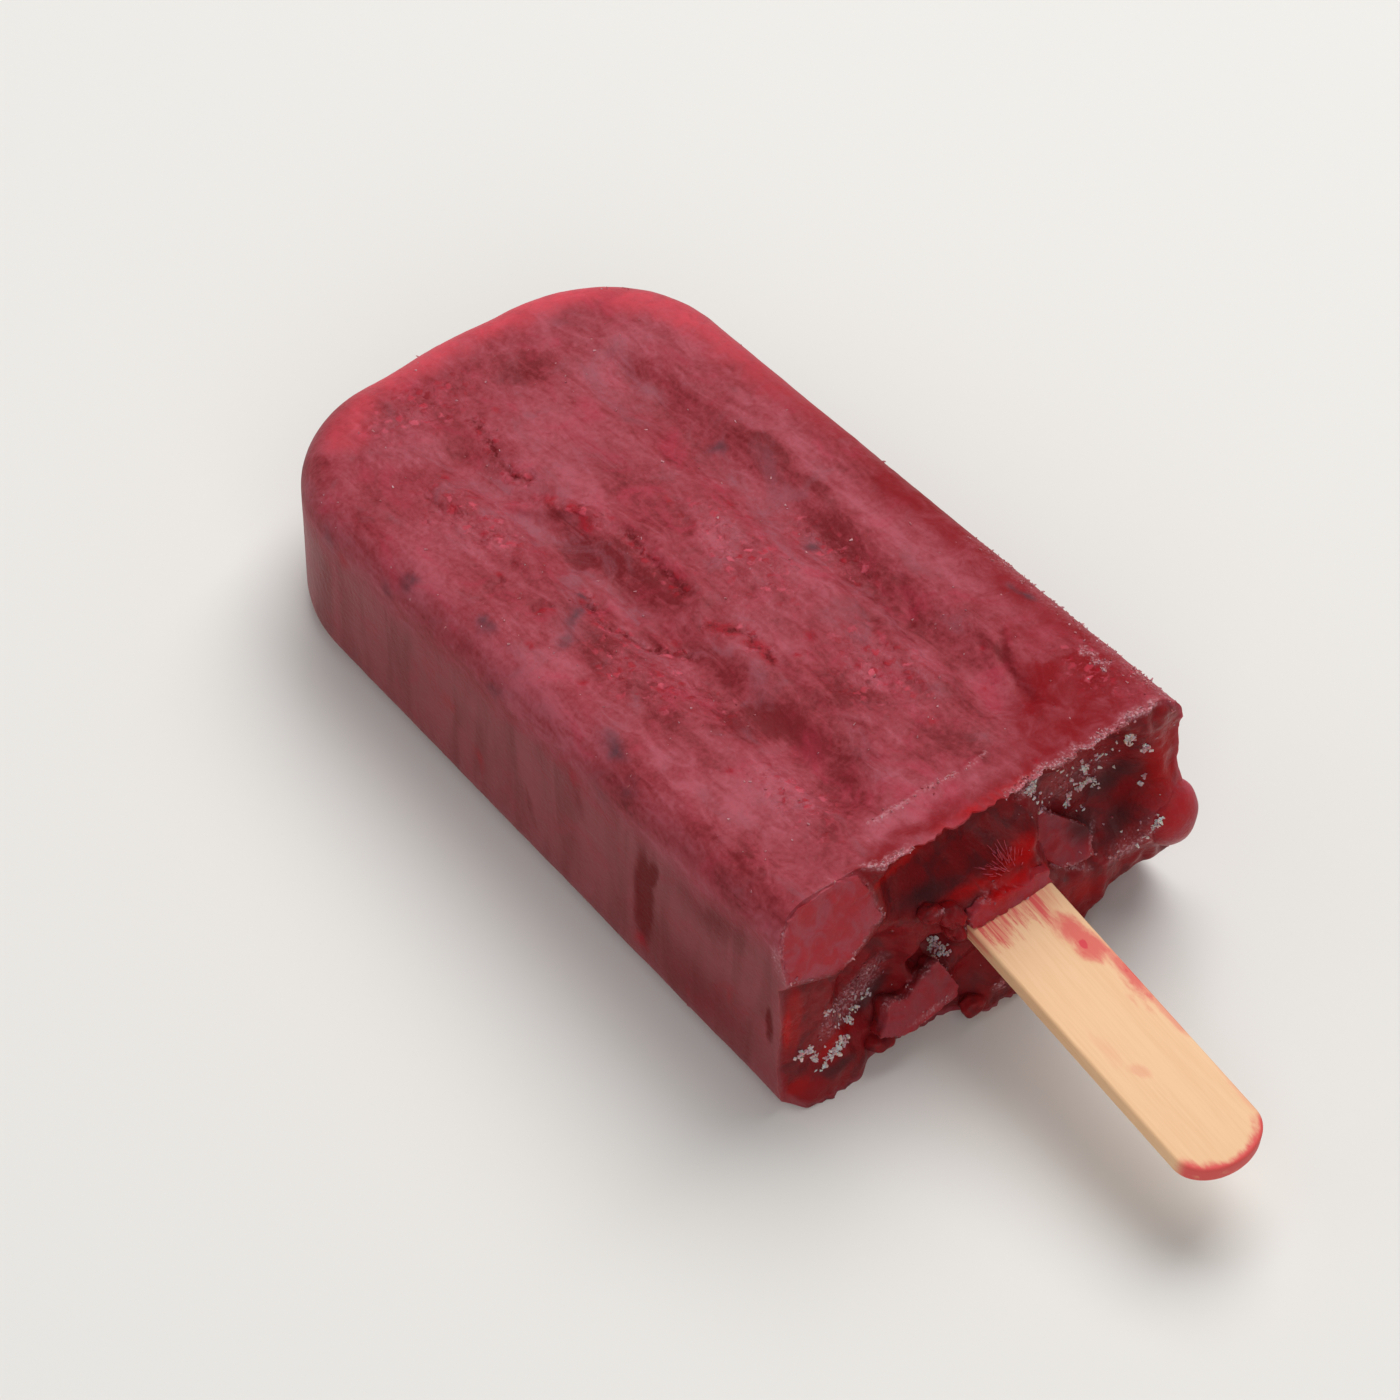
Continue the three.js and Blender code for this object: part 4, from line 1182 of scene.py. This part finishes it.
class ICEPOP_OT_block(bpy.types.Operator):
    """Makes the frozen block, with the flakes and the drop that froze onto its broken end"""

    bl_idname = "icepop.block"
    bl_label = "Frozen block"

    def execute(self, context):
        block = Block(sizes_of(context))
        points, faces = block_surface(block, along=280, across=176, upright=62, edge=20, foot=6)
        mesh = mesh_from("frozen_block_ice", points, faces.tolist())
        move_to(mesh, relieved(block, points, normals_of(mesh)))
        piece = new_object("frozen_block_ice", mesh)
        frozen_on = [flake(block, form) for form in FLAKES]
        frozen_on += [lump(block, *details) for details in LUMPS]
        for extra in frozen_on:
            join = piece.modifiers.new(extra.name, "BOOLEAN")
            join.operation, join.solver, join.object = "UNION", "MANIFOLD", extra
        settle(piece)
        remove(frozen_on)
        thin = piece.modifiers.new("Fewer triangles", "DECIMATE")
        triangles = sum(len(face.vertices) - 2 for face in piece.data.polygons)
        thin.ratio = min(1, MOST_TRIANGLES / triangles)
        settle(piece)
        move_to(piece.data, np.clip(places_of(piece.data), BOX_LOW, BOX_HIGH))
        drop_strays(piece.data)
        piece.data.shade_smooth()
        piece.data.set_sharp_from_angle(angle=math.radians(SHARP_ICE))
        self.mark(block, piece.data)
        finished(piece, "frozen_block", frozen_puree(looks_of(context)))
        return {"FINISHED"}

    def mark(self, block, mesh):
        """Keeps on the mesh where each kind of mark is, for the material and the scattered ice."""
        points, normals = places_of(mesh), normals_of(mesh)
        x, y, z = points.T
        across, side_x = on_face(y, normals), on_side(x, y)
        flat = smooth_step((np.abs(normals[:, 2]) - 0.2) / 0.5)
        shake_u = 1.0 * rough(points, 4.2, 50) + 0.35 * noise(points, 1.0, 51)
        shake_v = 0.8 * rough(points, 4.2, 60) + 0.35 * noise(points, 1.0, 61)
        u, v = x + shake_u, across + shake_v
        # Clear ice, and painted shade on the flute walls that face away from the light
        keep_attribute(mesh, "clear", bands(u, v, CLEAR_AND_SHADE_BANDS) * flat)
        low = block.top_height(x, y) - DULL_BELOW + 1.2 * noise(points, 5, 8) - z
        keep_attribute(mesh, "bare", bands(u, v, BARE_BANDS) * (1 - smooth_step(low / 5)))
        mist = bands(x + 0.5 * shake_u, across + 0.5 * shake_v, MIST_BANDS)
        keep_attribute(mesh, "mist", mist * flat)
        # Frost haze, with painted light on the flute walls and ridges that face the light
        keep_attribute(mesh, "haze", ellipses(u, v, HAZE_AND_LIT_PATCHES, 0.95) * flat)
        keep_attribute(mesh, "rough", ellipses(u, v, ROUGH_ZONES, 0.9) * flat)
        keep_attribute(mesh, "crack", distance_to_lines(x, across, CRACKS) + 3 * (1 - flat))
        pits = ellipses(x, across, [(px, py, r * 1.1, r * 0.8, 0) for px, py, r, _ in PITS], 0.9)
        from_pulp = distance_to_lines(x + 0.3 * shake_u, across + 0.3 * shake_v, PULP_LINES)
        pulpy = smooth_step(1.2 - from_pulp / 0.8) * smooth_step(0.75 + 1.2 * noise(points, 1.1, 93))
        keep_attribute(mesh, "pulp", np.maximum(0.8 * pits, 0.8 * pulpy) * flat)

        level = z / block.top_height(x, y) * block.stick_end_thickness
        depth = block.distance_to_rim(y, level)
        broken = smooth_step((depth - 0.25) / 0.5) * smooth_step((x - BROKEN_FROM) / 1.5)
        aside = (1 - flat) * (1 - broken)
        side_skin = 0.7 * ellipses(side_x, z, SIDE_SKINS, 0.95) * aside
        keep_attribute(mesh, "skin", np.maximum(ellipses(u, v, SKIN_SPOTS, 0.95) * flat, side_skin))
        # Darker lower sides: duller wet ice and painted shade
        dull_and_shaded = smooth_step(low / 4.5) * aside * (0.4 + 0.6 * smooth_step((x + 44) / 10))
        keep_attribute(mesh, "side", dull_and_shaded)
        streaks = ellipses(side_x + 0.4 * shake_u, z, SIDE_STREAKS, 0.45)
        shades = 0.66 * ellipses(side_x + shake_u, z + shake_v, SIDE_SHADES, 0.95)
        keep_attribute(mesh, "deep", np.maximum(streaks, shades) * aside)
        fruit = ellipses(side_x + 0.4 * shake_u, z, SIDE_BERRIES, 0.9)
        keep_attribute(mesh, "fruit", 0.85 * fruit * aside)

        from_edge = block.half_length + block.broken_offset(y, z) - x
        ends = smooth_step((x - BREAK_MARKS_FROM) / 2) * smooth_step(1.5 - from_edge / 1.2)
        ends = ends * (normals[:, 0] > -0.3)
        front = ends * smooth_step((normals[:, 0] + 0.1) / 0.4)
        inwards = block.half_length - x
        seen_y, seen_z = y - LOOK_ACROSS * inwards, z + LOOK_UP * inwards
        pale, flake_edges = np.zeros(len(points)), np.zeros(len(points))
        for form in FLAKES:
            inside, on_front = on_flake(block, points, form)
            pale = np.maximum(pale, form.pale * on_front * smooth_step(0.5 + inside / 0.8))
            edge = form.edge_frost * smooth_step(0.45 + 0.9 * noise(points, 1.7, 90)) * on_front
            flake_edges = np.maximum(flake_edges, edge * smooth_step(1 - np.abs(inside + 0.1) / 0.38))
        keep_attribute(mesh, "broken", broken)
        drop_y, drop_z, half_y, half_z = PALE_DROP
        drop = smooth_step(1.6 - np.hypot((y - drop_y) / half_y, (z - drop_z) / half_z)) * front
        keep_attribute(mesh, "flake", np.maximum(pale, 0.7 * drop))
        keep_attribute(mesh, "smoke", 0.85 * ellipses(seen_y, seen_z, SMOKE, 0.8) * front)
        red_glow = ellipses(seen_y, seen_z, RED_GLOW, 0.7)
        glow = np.maximum(red_glow, 0.5 * ellipses(seen_y, seen_z, DIM_GLOW, 0.8))
        hidden = np.where(z > GLOW_HIDDEN_ABOVE, 1, 0.7) * pale
        keep_attribute(mesh, "glow", glow * ends * (1 - hidden))

        near_y, near_z = seen_y + 0.35 * shake_u, seen_z + 0.35 * shake_v
        on_rim = smooth_step(1.3 - np.abs(depth) / 0.6) * smooth_step(1.3 - from_edge / 0.8)
        from_edge_frost = distance_to_lines(x, y, EDGE_FROST)
        from_squiggle = distance_to_lines(x, y, SQUIGGLE)
        from_scratch = distance_to_lines(x + 0.3 * noise(points, 1.5, 71), y, SCRATCHES)
        keep_attribute(mesh, "frost", np.max((
            0.22 * ellipses(near_y, near_z, SPARSE_CRUMBS, 0.9) * front,
            on_rim * smooth_step(1.4 - distance_to_lines(y, z, RIM_FROST) / 1.6),
            0.3 * (smooth_step(1.1 - from_edge_frost / 3.2) * smooth_step((z - 21) / 4)),
            0.8 * (smooth_step(1.2 - from_squiggle / 0.4) * smooth_step((z - 24) / 2)),
            0.7 * (ellipses(near_y, near_z, FACE_FROST, 0.8) * front),
            flake_edges,
            0.012 * flat * smooth_step((noise(points, 6, 70) + 0.4) / 0.8),
            0.45 * (smooth_step(1.3 - from_scratch / 0.3) * flat * (normals[:, 2] > 0)),
        ), axis=0))
        sparse = 0.035 * ellipses(near_y, near_z, SPARSE_CRUMBS)
        crumbs = np.maximum(ellipses(near_y, near_z, ICE_BITS, 0.3), sparse)
        keep_attribute(mesh, "crumbs", crumbs * front)
        feather = ellipses(seen_y, seen_z, [FEATHER_PLACE], 0.5) * front * (1 - pale)
        keep_attribute(mesh, "feather", feather)


def crystal_tree():
    """Geometry Nodes that scatter crystals on a surface where one of its attributes is high.

    They lie any way round, or, by how much Fan is above 0, point away from Root.
    """
    tree = bpy.data.node_groups.new("Scattered crystals", "GeometryNodeTree")
    sockets = {}
    for name, kind in (
        ("Geometry", "Geometry"), ("Attribute", "String"), ("Density", "Float"), ("Seed", "Int"),
        ("Radius", "Float"), ("Length", "Float"), ("Root", "Vector"), ("Fan", "Float"),
        ("Material", "Material"),
    ):
        kind = "NodeSocket" + kind
        sockets[name] = tree.interface.new_socket(name, in_out="INPUT", socket_type=kind)
    tree.interface.new_socket("Geometry", in_out="OUTPUT", socket_type="NodeSocketGeometry")
    given = add(tree, "NodeGroupInput").outputs
    named = {"Name": given["Attribute"]}
    share = add(tree, "GeometryNodeInputNamedAttribute", named, data_type="FLOAT")
    points = add(tree, "GeometryNodeDistributePointsOnFaces", {
        "Mesh": given["Geometry"],
        "Density": total(tree, (share.outputs["Attribute"], given["Density"])),
        "Seed": given["Seed"],
    })
    crystal = add(tree, "GeometryNodeMeshCone", {
        "Vertices": 5, "Radius Top": total(tree, (given["Radius"], 0.45)),
        "Radius Bottom": given["Radius"], "Depth": given["Length"],
    })
    position = add(tree, "GeometryNodeInputPosition").outputs[0]
    away = add(tree, "ShaderNodeVectorMath", {0: position, 1: given["Root"]}, operation="SUBTRACT")
    any_way = add(tree, "FunctionNodeRandomValue", {
        0: (0, 0, 0), 1: (6.3, 6.3, 6.3), "Seed": given["Seed"],
    }, data_type="FLOAT_VECTOR")
    turn = add(tree, "FunctionNodeAlignRotationToVector", {
        "Rotation": any_way.outputs[0], "Factor": given["Fan"], "Vector": away.outputs[0],
    }, axis="Z")
    size = add(tree, "FunctionNodeRandomValue", {
        0: (0.4, 0.4, 0.5), 1: (1.5, 1.4, 1.6), "Seed": given["Seed"],
    }, data_type="FLOAT_VECTOR")
    placed = add(tree, "GeometryNodeInstanceOnPoints", {
        "Points": points.outputs["Points"], "Instance": crystal.outputs["Mesh"],
        "Rotation": turn.outputs[0], "Scale": size.outputs[0],
    })
    real = add(tree, "GeometryNodeRealizeInstances", {"Geometry": placed.outputs[0]})
    coloured = add(tree, "GeometryNodeSetMaterial", {
        "Geometry": real.outputs[0], "Material": given["Material"],
    })
    add(tree, "NodeGroupOutput", {"Geometry": coloured.outputs[0]})
    return tree, sockets


def scattered(name, seed, material, attribute_name, density, radius, length, fan=0.0):
    """A piece made of crystals that lie where an attribute of the block is high."""
    piece = new_object(name, bpy.data.objects["frozen_block_ice"].data.copy())
    tree, sockets = crystal_tree()
    scatter = piece.modifiers.new("Crystals", "NODES")
    scatter.node_group = tree
    given = {
        "Attribute": attribute_name, "Density": density / MM**2, "Seed": seed, "Radius": radius,
        "Length": length, "Root": [part * MM for part in FEATHER_ROOT], "Fan": fan,
        "Material": material,
    }
    for socket_name, value in given.items():
        scatter[sockets[socket_name].identifier] = value
    settle(piece)
    move_to(piece.data, np.clip(places_of(piece.data), BOX_LOW, BOX_HIGH))
    finished(piece, None, material)


class ICEPOP_OT_frost(bpy.types.Operator):
    """Scatters grains of hoar frost on the rim and on the broken end"""

    bl_idname = "icepop.frost"
    bl_label = "Frost grains"

    def execute(self, context):
        looks = looks_of(context)
        scattered(
            "frost_grains", looks.seed, hoar_frost(looks), "frost",
            density=looks.grain_density, radius=looks.grain_size, length=2 * looks.grain_size,
        )
        return {"FINISHED"}


class ICEPOP_OT_feather(bpy.types.Operator):
    """Scatters the fan of fine red needles that grew above the stick"""

    bl_idname = "icepop.feather"
    bl_label = "Feather crystals"

    def execute(self, context):
        looks = looks_of(context)
        scattered(
            "feather_crystals", looks.seed + 1, clear_red_ice(looks), "feather",
            density=looks.needle_density, radius=looks.needle_size, length=looks.needle_length,
            fan=0.93,
        )
        return {"FINISHED"}


class ICEPOP_OT_ice_bits(bpy.types.Operator):
    """Scatters the crumbs of white water ice that stick to the broken end"""

    bl_idname = "icepop.ice_bits"
    bl_label = "White ice bits"

    def execute(self, context):
        looks = looks_of(context)
        scattered(
            "white_ice_bits", looks.seed + 2, water_ice(looks), "crumbs",
            density=looks.crumb_density, radius=looks.crumb_size, length=1.5 * looks.crumb_size,
        )
        return {"FINISHED"}


def stick_placement(block, sizes):
    """Where the stick's own frame is, in metres: its +X runs out of the block."""
    turn = Euler((0, sizes.stick_tilt, sizes.stick_turn), "XYZ").to_matrix().to_4x4()
    place = Vector((block.half_length, block.stick_side, block.stick_height)) * MM
    return Matrix.Translation(place) @ turn


def stick_mesh(block):
    """The stick in its own frame, with blunt rounded ends and sanded edges."""
    half, depth = block.stick_width / 2, block.stick_end_depth
    outer, inner = block.stick_reach, block.stick_reach - block.stick_length
    turns = np.linspace(-math.pi / 2, math.pi / 2, 33)
    end = np.column_stack((depth * np.cos(turns), half * np.sin(turns)))
    outline = np.concatenate((end + (outer - depth, 0), -end + (inner + depth, 0)))
    out = np.column_stack((half * np.cos(turns), depth * np.sin(turns)))
    out = np.concatenate((out, -out))
    out /= np.linalg.norm(out, axis=1)[:, None]
    top = block.stick_thickness / 2
    levels = []
    angles = np.linspace(0, math.pi / 2, 5)
    for side in (-1, 1):
        for angle in angles if side < 0 else angles[::-1]:
            inset = block.stick_bevel * (1 - math.sin(angle))
            height = side * (top - block.stick_bevel * (1 - math.cos(angle)))
            levels.append(np.column_stack((outline - out * inset, np.full(len(outline), height))))
    count, rings = len(outline), len(levels)
    index = np.arange(count * rings).reshape(rings, count)
    index = np.column_stack((index, index[:, 0]))
    faces = quads(index)[:, ::-1].tolist()
    faces += [index[0, :-1][::-1].tolist(), index[-1, :-1].tolist()]
    return mesh_from("wooden_stick", np.concatenate(levels), faces)


class ICEPOP_OT_stick(bpy.types.Operator):
    """Makes the flat wooden stick with its sanded edges"""

    bl_idname = "icepop.stick"
    bl_label = "Stick"

    def execute(self, context):
        sizes = sizes_of(context)
        block = Block(sizes)
        mesh = stick_mesh(block)
        placement = stick_placement(block, sizes)
        mesh.transform(placement)
        mesh.shade_smooth()
        mesh.set_sharp_from_angle(angle=math.radians(SHARP_WOOD))
        wood = sanded_birch(looks_of(context), placement, block)
        finished(new_object("wooden_stick", mesh), "stick", wood)
        return {"FINISHED"}


class ICEPOP_OT_stage(bpy.types.Operator):
    """Makes the floor, the soft lights and the camera"""

    bl_idname = "icepop.stage"
    bl_label = "Stage"

    # Of each light its name, its place and size in metres, and its power in watts
    lights = (
        ("key", (-0.25, 0.46, 0.98), 0.9, 11.9),
        ("fill", (0.9, -0.5, 0.8), 1.0, 5.0),
        ("side", (-0.5, -0.9, 0.7), 1.1, 2.2),
    )
    sky_strength = 0.24
    floor_reach = 3000
    camera_azimuth = 52.57
    camera_elevation = 48.91
    camera_distance = 0.61154
    camera_lens = 154.286
    camera_shift = (0.00286, 0.01126)

    def execute(self, context):
        far = self.floor_reach
        corners = [(-far, -far, 0), (far, -far, 0), (far, far, 0), (-far, far, 0)]
        floor = new_object("floor", mesh_from("floor", corners, [(0, 1, 2, 3)]))
        floor.data.materials.append(floor_paint())
        for light in self.lights:
            self.light(*light)
        world = bpy.data.worlds.new("studio")
        world.use_nodes = True
        background = world.node_tree.nodes["Background"]
        background.inputs["Color"].default_value = (1, 1, 1, 1)
        background.inputs["Strength"].default_value = self.sky_strength
        context.scene.world = world
        self.camera(context)
        context.scene.view_settings.view_transform = "Standard"
        return {"FINISHED"}

    def light(self, name, place, size, power):
        lamp = bpy.data.lights.new(name, "AREA")
        lamp.size, lamp.energy = size, power
        lamp_object = new_object(name, lamp)
        lamp_object.location = place
        lamp_object.rotation_euler = (-Vector(place)).to_track_quat("-Z", "Y").to_euler()

    def camera(self, context):
        azimuth, elevation = math.radians(self.camera_azimuth), math.radians(self.camera_elevation)
        back = Vector((
            math.sin(azimuth) * math.cos(elevation),
            -math.cos(azimuth) * math.cos(elevation),
            math.sin(elevation),
        ))
        camera = bpy.data.cameras.new("camera")
        camera.lens, camera.sensor_width = self.camera_lens, 36
        camera.shift_x, camera.shift_y = self.camera_shift
        camera.clip_start = 0.01
        camera_object = new_object("camera", camera)
        camera_object.location = back * self.camera_distance
        camera_object.rotation_euler = (-back).to_track_quat("-Z", "Y").to_euler()
        context.scene.camera = camera_object


OPERATORS = (
    ICEPOP_OT_block,
    ICEPOP_OT_frost,
    ICEPOP_OT_feather,
    ICEPOP_OT_ice_bits,
    ICEPOP_OT_stick,
    ICEPOP_OT_stage,
)


class ICEPOP_PT_panel(bpy.types.Panel):
    """Lists the sizes, the looks and the steps of the ice pop"""

    bl_idname = "ICEPOP_PT_panel"
    bl_label = "Ice pop"
    bl_space_type = "VIEW_3D"
    bl_region_type = "UI"
    bl_category = "Ice pop"

    def draw(self, context):
        for group in (sizes_of(context), looks_of(context)):
            box = self.layout.box()
            for name in group.__annotations__:
                box.prop(group, name)
        for operator in OPERATORS:
            self.layout.operator(operator.bl_idname)


CLASSES = (IcePopSizes, IcePopLooks, *OPERATORS, ICEPOP_PT_panel)


def register():
    for item in CLASSES:
        bpy.utils.register_class(item)
    bpy.types.Scene.ice_pop_sizes = PointerProperty(type=IcePopSizes)
    bpy.types.Scene.ice_pop_looks = PointerProperty(type=IcePopLooks)


def unregister():
    del bpy.types.Scene.ice_pop_looks
    del bpy.types.Scene.ice_pop_sizes
    for item in reversed(CLASSES):
        bpy.utils.unregister_class(item)


def main():
    register()
    bpy.ops.icepop.block()
    bpy.ops.icepop.frost()
    bpy.ops.icepop.feather()
    bpy.ops.icepop.ice_bits()
    bpy.ops.icepop.stick()
    bpy.ops.icepop.stage()


if __name__ == "__main__":
    main()
